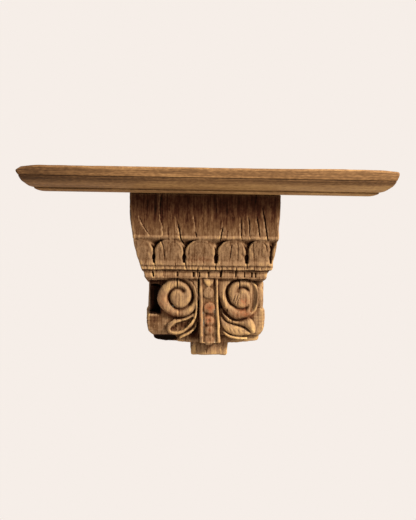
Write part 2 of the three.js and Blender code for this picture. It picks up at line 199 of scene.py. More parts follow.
def tapered(share: Array, gain: float, least: float) -> Array:
    """The strength of a line that tapers off towards both its ends, down to the least."""
    return np.clip(np.sin(np.pi * np.clip(share, 0.02, 0.98)) * gain, least, 1)


def soften(values: Array, passes: int) -> Array:
    """Blurs a field by a small even kernel along each axis, several times."""
    out = values.copy()
    for _ in range(passes):
        for axis in range(out.ndim):
            ahead, behind = np.roll(out, -1, axis), np.roll(out, 1, axis)
            out = 0.5 * out + 0.25 * (ahead + behind)
    return out


def ripple(shape: Sequence[Array], wavelengths: Sequence[float], seed: int) -> Array:
    """Even random waves over a grid, from about -1 to 1.

    Args:
        shape: The grid's coordinates along each axis.
        wavelengths: The length of a wave along each axis.
        seed: Seed of the random lattice.

    Returns:
        The waves on the whole grid.
    """
    rng = np.random.default_rng(seed)
    counts = [int((axis[-1] - axis[0]) / length) + 4 for axis, length in zip(shape, wavelengths)]
    lattice = rng.uniform(-1, 1, counts).astype(np.float32)
    for k, (axis, length) in enumerate(zip(shape, wavelengths)):
        place = (axis - axis[0]) / length + 1
        base = np.floor(place).astype(int)
        t = (place - base).astype(np.float32)
        t = t * t * (3 - 2 * t)
        low = np.take(lattice, base, axis=k)
        high = np.take(lattice, np.minimum(base + 1, counts[k] - 1), axis=k)
        view = [1] * len(counts)
        view[k] = len(t)
        lattice = low + (high - low) * t.reshape(view)
    return lattice


def mesh_from_arrays(name: str, points: Array, quads: Array, triangles: Array) -> bpy.types.Mesh:
    """Makes a mesh from arrays of corner numbers.

    Args:
        name: The mesh's name.
        points: Corner positions, in metres.
        quads: Four corner numbers to a row.
        triangles: Three corner numbers to a row.

    Returns:
        The mesh, with smooth faces.
    """
    mesh = bpy.data.meshes.new(name)
    corners = np.concatenate([quads.ravel(), triangles.ravel()]).astype(np.int32)
    sizes = np.concatenate([np.full(len(quads), 4), np.full(len(triangles), 3)]).astype(np.int32)
    mesh.vertices.add(len(points))
    mesh.vertices.foreach_set("co", points.astype(np.float32).ravel())
    mesh.loops.add(len(corners))
    mesh.loops.foreach_set("vertex_index", corners)
    mesh.polygons.add(len(sizes))
    mesh.polygons.foreach_set("loop_start", (np.cumsum(sizes) - sizes).astype(np.int32))
    mesh.polygons.foreach_set("use_smooth", np.ones(len(sizes), bool))
    mesh.update(calc_edges=True)
    mesh.validate()
    return mesh


def link_object(name: str, mesh: bpy.types.Mesh) -> bpy.types.Object:
    """Puts a mesh in the scene as an object at the origin."""
    thing = bpy.data.objects.new(name, mesh)
    bpy.context.scene.collection.objects.link(thing)
    return thing


def plain_mesh(thing: bpy.types.Object) -> bpy.types.Mesh:
    """Turns an object's modifiers into a plain mesh and clears them.

    Args:
        thing: The object to evaluate.

    Returns:
        The object's new mesh.
    """
    graph = bpy.context.evaluated_depsgraph_get()
    made = bpy.data.meshes.new_from_object(thing.evaluated_get(graph), depsgraph=graph)
    thing.modifiers.clear()
    thing.data = made
    return made


def read_corners(mesh: bpy.types.Mesh) -> Array:
    """The corners of a mesh, one to a row."""
    corners = np.zeros(len(mesh.vertices) * 3, np.float32)
    mesh.vertices.foreach_get("co", corners)
    return corners.reshape(-1, 3)


def triangle_arrays(mesh: bpy.types.Mesh) -> tuple[Array, Array]:
    """The corners and triangles of a mesh as arrays."""
    mesh.calc_loop_triangles()
    triangles = np.zeros(len(mesh.loop_triangles) * 3, np.int32)
    mesh.loop_triangles.foreach_get("vertices", triangles)
    return read_corners(mesh), triangles.reshape(-1, 3)


def store(mesh: bpy.types.Mesh, **masks: Array) -> None:
    """Stores named numbers for each corner of a mesh."""
    for name, values in masks.items():
        attribute = mesh.attributes.new(name, "FLOAT", "POINT")
        attribute.data.foreach_set("value", values.astype(np.float32))


def turned(places: Array) -> Array:
    """Turns places in the row's frame, in millimetres, into across, reach and drop, or back again."""
    return np.stack([places[:, 0], -places[:, 1], UNDERSIDE - places[:, 2]], 1)


def spot(x: Array, t: Array, middle: Point, radii: Point) -> Array:
    """A soft round spot on the front, one in its middle and nothing past its radii."""
    across, down = (x - middle[0]) / radii[0], (t - middle[1]) / radii[1]
    return np.clip(1.35 - np.sqrt(across**2 + down**2), 0, 1)


def strongest(x: Array, t: Array, spots: Sequence[Spot]) -> Array:
    """The strongest of several soft spots at each place on the front."""
    left = np.zeros(len(x), np.float32)
    for middle, radii, strength in spots:
        left = np.maximum(left, strength * spot(x, t, middle, radii))
    return left


# Geometry Nodes


def maths(tree: Any, operation: str, a: Any, b: Any, clamp: bool = False) -> Any:
    """Adds one step of arithmetic to a tree."""
    return add_node(tree, "ShaderNodeMath", {0: a, 1: b}, operation=operation, use_clamp=clamp).outputs[0]


def new_tree(name: str, sizes: dict[str, float]) -> tuple[Any, Any, Any]:
    """Starts a Geometry Nodes tree with named inputs.

    Args:
        name: The tree's name.
        sizes: Each named input's usual value, whole for a count.

    Returns:
        The tree, its input node and its output node.
    """
    tree = bpy.data.node_groups.new(name, "GeometryNodeTree")
    for way in ("INPUT", "OUTPUT"):
        tree.interface.new_socket("Geometry", in_out=way, socket_type="NodeSocketGeometry")
    for label, value in sizes.items():
        kind = "NodeSocketInt" if isinstance(value, int) else "NodeSocketFloat"
        tree.interface.new_socket(label, in_out="INPUT", socket_type=kind).default_value = value
    return tree, add_node(tree, "NodeGroupInput"), add_node(tree, "NodeGroupOutput")


def own_width(tree: Any) -> Any:
    """The width attribute of the points that a tree is given."""
    return add_node(tree, "GeometryNodeInputNamedAttribute", {"Name": "width"}, data_type="FLOAT").outputs[0]


def stamped(tree: Any, given: Any, shape: Any, scale: Sequence[Any]) -> Any:
    """Sets a scaled copy of a shape on every point that a tree is given."""
    sized = add_node(tree, "ShaderNodeCombineXYZ", dict(zip("XYZ", scale)))
    stamps = {"Points": given.outputs["Geometry"], "Instance": shape.outputs[0], "Scale": sized.outputs[0]}
    return add_node(tree, "GeometryNodeInstanceOnPoints", stamps).outputs[0]


def finish_tree(tree: Any, geometry: Any, output: Any, material: bpy.types.Material) -> None:
    """Ends a tree in Realize Instances and Set Material."""
    real = add_node(tree, "GeometryNodeRealizeInstances", {"Geometry": geometry})
    dressed = add_node(tree, "GeometryNodeSetMaterial", {"Geometry": real.outputs[0], "Material": material})
    tree.links.new(dressed.outputs[0], output.inputs[0])


def set_input(modifier: bpy.types.NodesModifier, label: str, value: float) -> None:
    """Sets a Geometry Nodes modifier's input by its socket's identifier."""
    for item in modifier.node_group.interface.items_tree:
        if item.name == label and item.in_out == "INPUT":
            modifier[item.identifier] = value
            return
    raise KeyError(label)


class ToolTrees:
    """Geometry Nodes trees that make the carver's cuts and beads, in grid millimetres.

    Their paths lie in local X (across or reach) and Y (drop), and local Z is the height over the face.
    """

    def __init__(self, steel: bpy.types.Material) -> None:
        """Builds the trees.

        Args:
            steel: A plain material for the passing tool meshes.
        """
        self.stroke = self._stroke_tree(steel)
        self.beads = self._bead_tree(steel)
        self.notches = self._notch_tree(steel)

    def _stroke_tree(self, steel: bpy.types.Material) -> Any:
        """A rounded bar swept along a path, whose width follows the path's own width attribute."""
        tree, given, output = new_tree("gouge_stroke", {"Depth": 8.0})
        path = add_node(tree, "GeometryNodeMeshToCurve", {"Mesh": given.outputs["Geometry"]})
        normal = add_node(tree, "GeometryNodeSetCurveNormal", {"Curve": path.outputs[0]}, mode="Z_UP")
        # The bar's section is one wide and as deep as its share of the width, and the path's width scales it.
        section = add_node(tree, "GeometryNodeCurvePrimitiveCircle", {"Resolution": 12, "Radius": 0.5})
        place = add_node(tree, "GeometryNodeInputPosition")
        parts = add_node(tree, "ShaderNodeSeparateXYZ", {0: place.outputs[0]})
        depth = maths(tree, "MULTIPLY", parts.outputs["Y"], given.outputs["Depth"])
        tall = add_node(tree, "ShaderNodeCombineXYZ", {"X": parts.outputs["X"], "Y": depth})
        shaping = {"Geometry": section.outputs[0], "Position": tall.outputs[0]}
        shaped = add_node(tree, "GeometryNodeSetPosition", shaping)
        sweep = {
            "Curve": normal.outputs[0],
            "Profile Curve": shaped.outputs[0],
            "Scale": own_width(tree),
            "Fill Caps": True,
        }
        finish_tree(tree, add_node(tree, "GeometryNodeCurveToMesh", sweep).outputs[0], output, steel)
        return tree

    def _bead_tree(self, steel: bpy.types.Material) -> Any:
        """A flattened ball on every point, sized by the point's own width attribute."""
        tree, given, output = new_tree("bead_string", {"Flatness": 0.8})
        width = own_width(tree)
        deep = maths(tree, "MULTIPLY", width, given.outputs["Flatness"])
        ball = add_node(tree, "GeometryNodeMeshUVSphere", {"Segments": 24, "Rings": 12, "Radius": 0.5})
        finish_tree(tree, stamped(tree, given, ball, (width, width, deep)), output, steel)
        return tree

    def _notch_tree(self, steel: bpy.types.Material) -> Any:
        """A chisel cut on every point, as wide as the point's own width attribute."""
        tree, given, output = new_tree("chisel_notches", {"Height": 10.0, "Depth": 6.0})
        blade = add_node(tree, "GeometryNodeMeshCube", {"Size": (1.0, 1.0, 1.0)})
        scale = (own_width(tree), given.outputs["Height"], given.outputs["Depth"])
        finish_tree(tree, stamped(tree, given, blade, scale), output, steel)
        return tree

    def run(self, tree: Any, points: Sequence[tuple[float, float, float]], widths: Sequence[float],
            joined: bool, **sizes: float) -> tuple[Array, Array]:
        """Runs a tree on points and takes its mesh.

        Args:
            tree: One of this class's trees.
            points: Local points.
            widths: The width attribute of each point.
            joined: Whether the points are joined into a path.
            **sizes: The tree's named inputs.

        Returns:
            Corners and triangles, in local millimetres.
        """
        mesh = bpy.data.meshes.new("tool_path")
        edges = [(i, i + 1) for i in range(len(points) - 1)] if joined else []
        mesh.from_pydata([tuple(map(float, p)) for p in points], edges, [])
        store(mesh, width=np.array(widths))
        thing = link_object("tool", mesh)
        modifier = thing.modifiers.new("tool", "NODES")
        modifier.node_group = tree
        for label, value in sizes.items():
            set_input(modifier, label.capitalize(), value)
        corners, triangles = triangle_arrays(plain_mesh(thing))
        bpy.data.objects.remove(thing)
        return corners, triangles


# The block of timber


class Face(Enum):
    """The three carved faces of the corbel."""

    FRONT = "front"
    LEFT = "left"
    RIGHT = "right"


@dataclass
class Timber:
    """A block of timber as signed distances on a regular grid, negative inside the wood.

    Axis 0 is across, axis 1 is reach and axis 2 is drop.
    """

    step: float
    low: tuple[float, float, float] = (-130.0, -5.0, -5.0)
    high: tuple[float, float, float] = (130.0, 178.0, 276.0)
    axes: list[Array] = field(init=False)
    values: Array = field(init=False)

    def __post_init__(self) -> None:
        """Lays out the grid."""
        counts = [int(round((h - l) / self.step)) + 1 for l, h in zip(self.low, self.high)]
        self.axes = [(l + self.step * np.arange(n)).astype(np.float32) for l, n in zip(self.low, counts)]
        self.values = np.full(counts, 20.0, np.float32)

    @property
    def across(self) -> Array:
        """Across, shaped to spread over the grid."""
        return self.axes[0][:, None, None]

    @property
    def reach(self) -> Array:
        """Reach, shaped to spread over the grid."""
        return self.axes[1][None, :, None]

    @property
    def drop(self) -> Array:
        """Drop, shaped to spread over the grid."""
        return self.axes[2][None, None, :]

    def window(self, *spans: tuple[float, float]) -> tuple[slice, ...]:
        """The slices of the grid that hold a span of millimetres along each axis."""
        out = []
        for (low, high), axis in zip(spans, self.axes):
            first = int(np.searchsorted(axis, low))
            last = int(np.searchsorted(axis, high, side="right"))
            out.append(slice(max(first, 0), max(last, 0)))
        return tuple(out)

    def coordinates(self, window: tuple[slice, ...]) -> tuple[Array, Array, Array]:
        """The three coordinates of a window, shaped to spread over it."""
        return (
            self.axes[0][window[0]][:, None, None],
            self.axes[1][window[1]][None, :, None],
            self.axes[2][window[2]][None, None, :],
        )

    def add(self, window: tuple[slice, ...], shape: Array, blend: float = 1.0) -> None:
        """Joins a shape, given as distances over a window, to the wood."""
        self.values[window] = smooth_min(self.values[window], shape, blend)

    def cut(self, window: tuple[slice, ...], shape: Array, blend: float = 0.8) -> None:
        """Takes a shape, given as distances over a window, out of the wood."""
        self.values[window] = smooth_max(self.values[window], -shape, blend)

    def voxels(self, points: Array, triangles: Array) -> tuple[tuple[slice, ...], Array]:
        """Turns a closed tool mesh into distances over the window round it.

        Args:
            points: Corners in grid millimetres, as across, reach and drop.
            triangles: Its triangles.

        Returns:
            The window and the distances over it.
        """
        margin = 4
        local = (points - np.array(self.low, np.float32)) / self.step
        grid = vdb.FloatGrid.createLevelSetFromPolygons(
            points=local.astype(np.float32),
            triangles=triangles.astype(np.uint32),
            transform=vdb.createLinearTransform(1.0),
            halfWidth=float(margin),
        )
        shape = self.values.shape
        low = np.clip(np.floor(local.min(0)).astype(int) - margin, 0, np.array(shape) - 1)
        high = np.clip(np.ceil(local.max(0)).astype(int) + margin + 1, low + 1, shape)
        out = np.full(high - low, float(margin), np.float32)
        grid.copyToArray(out, ijk=tuple(int(v) for v in low))
        return tuple(slice(int(a), int(b)) for a, b in zip(low, high)), out * self.step

    def sample(self, values: Array, points: Array, step: float | None = None) -> Array:
        """Reads a field at points by straight-line mixing between cells.

        Args:
            values: A field on this grid, or on a coarser one with the same corner.
            points: Places in grid millimetres.
            step: The field's own cell size, where it isn't the grid's.

        Returns:
            One value for each point.
        """
        local = (points - np.array(self.low)) / (step or self.step)
        top = np.array(values.shape) - 2
        base = np.clip(np.floor(local).astype(int), 0, top)
        t = np.clip(local - base, 0, 1).astype(np.float32)
        out = np.zeros(len(points), np.float32)
        for corner in range(8):
            bits = [(corner >> k) & 1 for k in range(3)]
            weight = np.ones(len(points), np.float32)
            for k in range(3):
                weight = weight * (t[:, k] if bits[k] else 1 - t[:, k])
            out += weight * values[base[:, 0] + bits[0], base[:, 1] + bits[1], base[:, 2] + bits[2]]
        return out

    def read_map(self, plane: Array, axis: int, along: Array, drop: Array) -> Array:
        """Reads a map of a face, spread over one axis and drop, at its nearest cells."""
        i = np.clip(np.rint((along - self.low[axis]) / self.step).astype(int), 0, plane.shape[0] - 1)
        k = np.clip(np.rint((drop - self.low[2]) / self.step).astype(int), 0, plane.shape[1] - 1)
        return plane[i, k]

    def polygons(self) -> tuple[Array, Array, Array]:
        """The wood's surface as corners in grid millimetres, quads and triangles."""
        grid = vdb.FloatGrid()
        limit = 3 * self.step
        grid.background = limit
        grid.copyFromArray(np.clip(self.values, -limit, limit))
        points, triangles, quads = grid.convertToPolygons(0.0, 0.0)
        return points * self.step + np.array(self.low, np.float32), quads, triangles


@dataclass(frozen=True)
class Crack:
    """A drying crack: its path on the front, its width, its depth and how pale its left edge is painted, a
    painted highlight on the crack's lit wall.
    """

    path: list[Point]
    width: float
    depth: float
    # How pale the left edge is painted: a painted highlight where the crack's wall faces the light.
    pale: float = 0.0


@dataclass
class CarvedCorbel:
    """The corbel: one block of old teak with its bell, petals, bands, scrolls, leaves and beads."""

    tools: ToolTrees
    step: float
    triangle_limit: int = 190_000

    petal_top: float = 75.0
    petal_foot: float = 113.2
    petal_depth: float = 11.5
    side_petal: float = 46.0
    front_gaps: tuple[float, ...] = (-85.4, -34.8, 17.8, 68.6, 108.8)
    gap_widths: tuple[float, ...] = (3.4, 4.4, 6.2, 5.4, 4.0)
    left_first_gap: float = 143.9
    right_first_gap: float = 120.2
    block_row: Point = (130.4, 137.4)
    scroll_face: float = 140.0
    core_face: float = 125.0
    column_foot: float = 248.6
    column_front: float = 144.2
    column_half: float = 15.6
    beads_reach: float = 138.2
    fine_checks: int = 230
    side_checks: int = 46
    lean: float = 0.0169  # the lower carving drifts this much to the right as it goes down
    lean_start: float = 109.0
    ledge: float = 250.6  # drop at which the foot leaves the base
    foot_side: float = -20.2
    foot_reach: float = 118.4
    foot_lean: float = 3.6  # the foot's left side leans in this much at the wall

    right_edge: tuple[Point, ...] = (
        (120.8, -15), (120.8, 33), (119.6, 61), (119.6, 74), (117.6, 79), (115.6, 91), (114.0, 104),
        (112.8, 112), (112.2, 121), (111.2, 124.6), (107.2, 126.2), (105.6, 127.4), (105.4, 131),
        (104.2, 137), (101.6, 141.5), (98.6, 146.5), (95, 150), (84, 152.5), (83, 156), (83, 192.0),
        (98.8, 189.4), (101.6, 193.0), (102.0, 203), (101.6, 217), (99.8, 227), (95.8, 234.3),
        (93.8, 237.4), (93.8, 242.4), (92, 245.8), (66, 249.4), (41.6, 250.6), (41.0, 270.5), (38.6, 272.8),
    )
    left_edge: tuple[Point, ...] = (
        (-17.6, 273.2), (-20.0, 270.6), (-19.4, 262), (-15.6, 250.6), (-47, 249.2), (-76, 247.2),
        (-81.8, 244.6), (-83.8, 237.8), (-86.8, 236.0), (-91.8, 230.6), (-94.2, 216), (-94.2, 206.0),
        (-92.2, 202.4), (-72, 201.4), (-72, 155.5), (-76, 152.8), (-88.8, 152.2), (-93.2, 148.2),
        (-97.6, 142.4), (-100.6, 137), (-102.6, 131), (-104.8, 126), (-108.0, 118), (-110.8, 110),
        (-113.4, 102.2), (-116.6, 88), (-119.2, 75), (-121.2, 62), (-123.8, 44.6), (-124.8, 30),
        (-126.0, -15),
    )
    front_edge: tuple[Point, ...] = (
        (170, -15), (170, 18), (169.4, 34), (167.2, 52), (165.4, 65.5), (165.0, 68.4), (166.2, 70.2),
        (166.0, 72.8), (164.6, 75.0), (162.4, 79), (160.4, 84), (157.2, 93), (153.6, 103), (151.4, 110.4),
        (152.0, 112.6), (152.2, 117.8), (150.6, 119.4), (149.6, 120.6), (149.4, 125.4), (147.6, 126.4),
        (143.4, 126.6), (143.4, 127.4), (145.2, 128.8), (145.2, 139.2), (143.4, 141.4), (137, 143.4),
        (126.5, 145.6), (125, 148), (125, 190.4), (130.8, 192.4), (131.6, 199), (131.2, 220), (129.8, 230),
        (126.8, 235.4), (121.2, 236.8), (120.2, 248.0), (118.4, 250.4), (118.2, 270.5), (116.0, 273.0),
    )

    # What the work leaves behind: the sawn block, where its front is nearest, and the maps of its cracks.
    sawn: Array = field(init=False)
    on_front: Array = field(init=False)
    crack_map: Array = field(init=False)
    pale_map: Array = field(init=False)
    check_map: Array = field(init=False)
    side_crack_map: Array = field(init=False)

    def leaned(self, points: Sequence[Point]) -> list[Point]:
        """Drifts points of the front sideways with their drop, as the carving does."""
        return [(x + self.lean * (t - self.lean_start), t) for x, t in points]

    def carve(self) -> Timber:
        """Carves the block.

        Returns:
            The finished timber.
        """
        timber = Timber(self.step)
        self.saw(timber)
        self.carve_petals(timber)
        self.carve_scroll_block(timber)
        self.carve_column(timber)
        self.cut_band_blocks(timber)
        self.wear(timber)
        self.open_cracks(timber)
        self.flatten_back(timber)
        return timber

    def saw(self, timber: Timber) -> None:
        """Saws the block to its front and side outlines."""
        across, reach, drop = timber.axes
        front_outline = [*self.right_edge, *self.left_edge]
        side_outline = [*self.front_edge, (-30, 273), (-30, -15)]
        seen_front = outline_distance(front_outline, across[:, None], drop[None, :])[:, None, :]
        seen_side = outline_distance(side_outline, reach[:, None], drop[None, :])[None, :, :]
        timber.values = (smooth_max(seen_front, seen_side, 2.4) - 0.5).astype(np.float32)
        # The foot's left side leans in towards the wall.
        flank = self.foot_lean * (1 - reach / self.foot_reach) + self.foot_side - across[:, None]
        lean = np.minimum(flank[:, :, None], (drop - self.ledge)[None, None, :])
        timber.values = np.maximum(timber.values, lean.astype(np.float32))
        self.sawn = timber.values.copy()
        self.on_front = seen_side > seen_front

    def petal_row(self, along: Array, drop: Array, gaps: Sequence[Point]) -> tuple[Array, ...]:
        """The spaces round a row of petals.

        Args:
            along: Position along the face.
            drop: Drop.
            gaps: Each gap's position and width, in order.

        Returns:
            Distances to what is cut away, negative inside it, the same for the drilled holes alone, how deep
            the ground lies, which slopes down from each petal to the next one's edge, and distances to the
            petals.
        """
        petals = np.full(np.broadcast(along, drop).shape, 50.0, np.float32)
        before, after = petals.copy(), petals.copy()
        for (left, left_width), (right, right_width) in zip(gaps, gaps[1:]):
            low, high = left + left_width * 0.42, right - right_width * 0.42
            middle, half = (low + high) / 2, (high - low) / 2
            rise = half * 0.86
            centre = self.petal_top + 0.4 + rise
            u, v = (along - middle) / half, (drop - centre) / rise
            head = (np.sqrt(u * u + v * v) - 1) * half * 0.9
            stem = np.maximum(np.abs(along - middle) - half, centre - drop)
            petal = np.minimum(head, stem)
            petals = np.minimum(petals, petal)
            before = np.where(along > middle, petal, before)
            after = np.where((along < middle) & (after > 49), petal, after)
        spaces = np.maximum(-petals, np.maximum(self.petal_top + 0.8 - drop, drop - self.petal_foot - 1.5))
        holes = np.full(petals.shape, 50.0, np.float32)
        for position, width in gaps:
            hole = np.sqrt((along - position) ** 2 + ((drop - 105.0) / 1.9) ** 2) - width * 0.36 - 1.3
            holes = np.minimum(holes, hole)
        before, after = np.clip(before, 0, 50), np.clip(after, 0, 50)
        slope = np.maximum(before / (before + after + 0.8), np.clip(1.1 - (before + after) / 9, 0, 1))
        return np.minimum(spaces, holes), holes, slope, petals

    def carve_petals(self, timber: Timber) -> None:
        """Cuts the ground back round the lotus petals on the three faces."""
        across, reach, drop = timber.axes
        front = [(g, w) for g, w in zip(self.front_gaps, self.gap_widths)]
        front = [(front[0][0] - self.side_petal, 4.0), *front, (front[-1][0] + self.side_petal, 4.0)]
        on_front = self.petal_row(across[:, None], drop[None, :], front)
        sides = []
        for first in (self.left_first_gap, self.right_first_gap):
            gaps = [(first + self.side_petal - k * self.side_petal, 4.4) for k in range(6)][::-1]
            sides.append(self.petal_row(reach[:, None], drop[None, :], gaps))
        # The ground is shallow under the ridge and falls to its deepest low down between the petals.
        fall = np.clip((drop - self.petal_top - 0.3) / 6, 0, 1)[None, None, :]
        on_left = across[:, None, None] < 0
        spaces, holes, slope, petals = (
            np.where(self.on_front, ahead[:, None, :], np.where(on_left, left[None, :, :], right[None, :, :]))
            for ahead, left, right in zip(on_front, *sides)
        )
        ground = self.petal_depth * (0.03 + fall * (0.08 + 1.1 * slope**1.3))
        for shape, depth, edge in ((spaces, ground, 2.0), (holes, 15.0, 1.0)):
            cut = smooth_min(-shape, self.sawn + depth, 1.0)
            timber.values = smooth_max(timber.values, cut, edge).astype(np.float32)
        # A faint line runs inside each petal's edge.
        faint = np.clip(0.5 + 0.9 * ripple(timber.axes, (16, 16, 12), 41), 0, 1)
        line = np.maximum(np.abs(petals + 4.0) - 0.7, np.maximum(75.0 - drop, drop - 103.0)[None, None, :])
        line = np.maximum(line, -(self.sawn + 0.9 * faint))
        timber.values = smooth_max(timber.values, -line, 0.8).astype(np.float32)

    def plan(self, timber: Timber, outline: list[Point], margin: float,
             reaches: Point) -> tuple[Any, Array, Array]:
        """Lays a shape out on the front face.

        Args:
            timber: The block.
            outline: The shape, as across and drop.
            margin: How much ground round it is worked.
            reaches: The reaches between which it is worked.

        Returns:
            The window round the shape, the reach of its cells and their distance to the outline.
        """
        outline = self.leaned(outline)
        spans = [(min(side) - margin, max(side) + margin) for side in zip(*outline)]
        window = timber.window(spans[0], reaches, spans[1])
        across, reach, drop = timber.coordinates(window)
        return window, reach, outline_distance(outline, across[:, 0, :], drop[0, :, :])[:, None, :]

    def raise_shape(self, timber: Timber, outline: list[Point], low: float, high: float,
                    edge: float, blend: float, dome: float = 0.0) -> None:
        """Leaves a raised shape standing on the front face.

        Args:
            timber: The block.
            outline: The shape, as across and drop.
            low: Reach that it rises from.
            high: Reach of its face.
            edge: Rounding of its edge.
            blend: Softness where it meets its ground.
            dome: How much its middle swells above its edge.
        """
        window, reach, flat = self.plan(timber, outline, 6, (low - 6, high + 8))
        swell = dome * np.clip(-flat / 10, 0, 1) ** 0.6 if dome else 0.0
        shape = smooth_max(flat, reach - high - swell, edge)
        timber.add(window, np.maximum(shape, low - reach), blend)

    def sink_shape(self, timber: Timber, outline: list[Point], floor: float, edge: float = 1.5) -> None:
        """Hollows a shape into the front face, down to a reach."""
        window, reach, flat = self.plan(timber, outline, 4, (floor - 8, 180))
        bowl = floor + 3.5 * np.clip(1 + flat / 6, 0, 1) ** 2
        timber.cut(window, smooth_max(flat, bowl - reach, edge), 1.0)

    def stroke(self, timber: Timber, face: Face, path: list[Point], widths: Sequence[float], middle: float,
               depth: float, cutting: bool, blend: float) -> None:
        """Runs a gouge, or leaves a ridge, along a path on a face.

        Args:
            timber: The block.
            face: The face to work on.
            path: The path, as position along the face and drop.
            widths: Width of the stroke at each point of the path, or one for the whole path.
            middle: How far out from the block's middle the stroke's own middle lies.
            depth: The stroke's whole depth as a share of its width.
            cutting: Whether it cuts wood away.
            blend: Softness of its edges.
        """
        smooth = rounded(self.leaned(path) if face is Face.FRONT else path, closed=False)
        spread = np.interp(np.linspace(0, 1, len(smooth)), np.linspace(0, 1, len(widths)), widths)
        local = [(a, b, 0.0) for a, b in smooth]
        corners, triangles = self.tools.run(self.tools.stroke, local, spread, True, depth=depth)
        window, shape = timber.voxels(self.placed(face, corners, middle), triangles)
        (timber.cut if cutting else timber.add)(window, shape, blend)

    @staticmethod
    def placed(face: Face, corners: Array, middle: float) -> Array:
        """Stands a tool mesh, drawn flat, against a face.

        Args:
            face: The face.
            corners: Corners as position along the face, drop and height over the face.
            middle: Reach, or distance from the block's middle, of height zero.

        Returns:
            Corners as across, reach and drop.
        """
        along, drop, height = corners[:, 0], corners[:, 1], corners[:, 2] + middle
        if face is Face.FRONT:
            return np.stack([along, height, drop], 1)
        side = -1 if face is Face.LEFT else 1
        return np.stack([side * height, along, drop], 1)

    def carve_scroll_block(self, timber: Timber) -> None:
        """Carves the scrolls, stems and leaves on the front, and the plainer scrolls on the sides."""
        face = self.scroll_face
        left_body = rounded([
            (-57.1, 143.7), (-66.6, 150.2), (-73.8, 158.3), (-78.2, 168.7), (-79.1, 178.3), (-76.3, 187.9),
            (-69.9, 195.9), (-62.0, 202.2), (-53.2, 206.5), (-46.0, 207.8), (-38.0, 207.4), (-28.4, 204.2),
            (-21.2, 199.3), (-15.0, 190.0), (-10.5, 178.0), (-3.0, 168.0), (-3.0, 142.0), (-30, 139.0),
        ])
        right_body = rounded([
            (70.9, 140.6), (81.3, 145.2), (87.8, 153.2), (91.2, 163.6), (91.8, 173.2), (90.0, 184.5),
            (85.5, 194.2), (79.8, 201.6), (74.0, 206.0), (66.2, 209.4), (56.5, 210.6), (45.3, 206.4),
            (36.4, 199.2), (29.5, 190.0), (24.5, 178.0), (16.0, 168.0), (16.0, 142.0), (45, 139.0),
        ])
        left_groove = [
            (-36.1, 162.6), (-41.3, 159.4), (-47.6, 158.9), (-53.2, 161.0), (-57.8, 165.3), (-60.2, 171.3),
            (-59.9, 177.7), (-56.8, 184.4), (-50.9, 190.4), (-44.5, 193.2), (-38.1, 192.8), (-31.4, 189.5),
            (-25.4, 184.1), (-21.5, 177.2), (-20.3, 169.6), (-21.8, 162.4), (-25.2, 155.7), (-30.5, 149.7),
            (-36.5, 144.8), (-44.0, 142.0), (-53.0, 141.6), (-62.0, 143.6),
        ]
        left_widths = [
            1.0, 1.6, 2.2, 3.2, 4.2, 4.4, 4.2, 3.8, 3.4, 2.6, 2.6, 3.2, 4.6, 5.2, 4.6, 3.4, 2.8, 2.4, 2.0,
            1.8, 1.8, 1.6,
        ]
        right_inner = [
            (55.2, 162.3), (56.4, 158.8), (60.8, 156.2), (66.4, 156.1), (72.0, 158.8), (75.6, 164.4),
        ]
        right_groove = [
            (73.6, 187.7), (68.0, 191.4), (61.6, 192.7), (55.2, 191.4), (48.8, 187.6), (41.6, 180.8),
            (37.4, 171.7), (36.4, 162.9), (38.8, 154.4), (44.8, 147.6), (54.4, 143.1), (63.9, 141.5),
            (71.9, 142.2), (80.0, 145.5),
        ]
        right_widths = [1.0, 3.2, 2.6, 2.6, 3.2, 4.2, 5.2, 5.4, 4.8, 4.0, 3.0, 2.2, 1.8, 1.4]
        inner_widths = [1.0, 2.0, 2.2, 2.8, 3.8, 1.4]
        for body, grooves in ((left_body, [left_groove]), (right_body, [right_inner, right_groove])):
            self.raise_shape(timber, body, self.core_face - 3, face + 0.8, 10.0, 1.5)
            self.round_bands(timber, body, grooves)
        for groove, widths, depth, blend in (
            (left_groove, left_widths, 3.4, 2.4),
            (right_inner, inner_widths, 3.2, 2.0),
            (right_groove, right_widths, 3.4, 2.4),
        ):
            self.stroke(timber, Face.FRONT, groove, widths, face - 1.0, depth, True, blend)
        self.chip_right_scroll(timber)
        self.carve_leaves(timber)
        # The base is broken away under the left of the corner block.
        broken = [(-92, 238.6), (-50, 238.6), (-46.5, 243), (-46.5, 252), (-92, 252)]
        self.sink_shape(timber, broken, 110.0, 0.4)
        for side, half in ((Face.LEFT, 91.4), (Face.RIGHT, 103.0)):
            self.carve_side(timber, side, half)

    def round_bands(self, timber: Timber, body: list[Point], grooves: Sequence[list[Point]]) -> None:
        """Rounds a scroll's bands down towards its grooves.

        Args:
            timber: The block.
            body: The scroll's outline.
            grooves: The grooves' paths.
        """
        xs, ts = zip(*self.leaned(body))
        window = timber.window((min(xs), max(xs)), (self.core_face, self.scroll_face + 8), (144.5, max(ts)))
        across, reach, drop = timber.coordinates(window)
        near = np.float32(99.0)
        for groove in grooves:
            path = rounded(self.leaned(groove), closed=False, steps=3)
            near = np.minimum(near, path_distance(path, across[:, 0, :], drop[0, :, :])[0])
        height = self.scroll_face + 0.6 - 3.8 * np.clip(1 - (near - 1.6) / 7.0, 0, 1) ** 2
        timber.cut(window, height[:, None, :] - reach, 1.2)

    def chip_right_scroll(self, timber: Timber) -> None:
        """Splits the outer part of the right scroll off along the grain, inside the rim that is left."""
        break_line = [
            (77.4, 147.0), (84.2, 152.2), (86.8, 160.7), (87.6, 170.3), (86.6, 181.6), (83.2, 190.6),
            (77.6, 197.4), (74.6, 193), (75.2, 176), (76.0, 160),
        ]
        self.sink_shape(timber, rounded(break_line, steps=3), self.scroll_face - 6.4, 0.5)

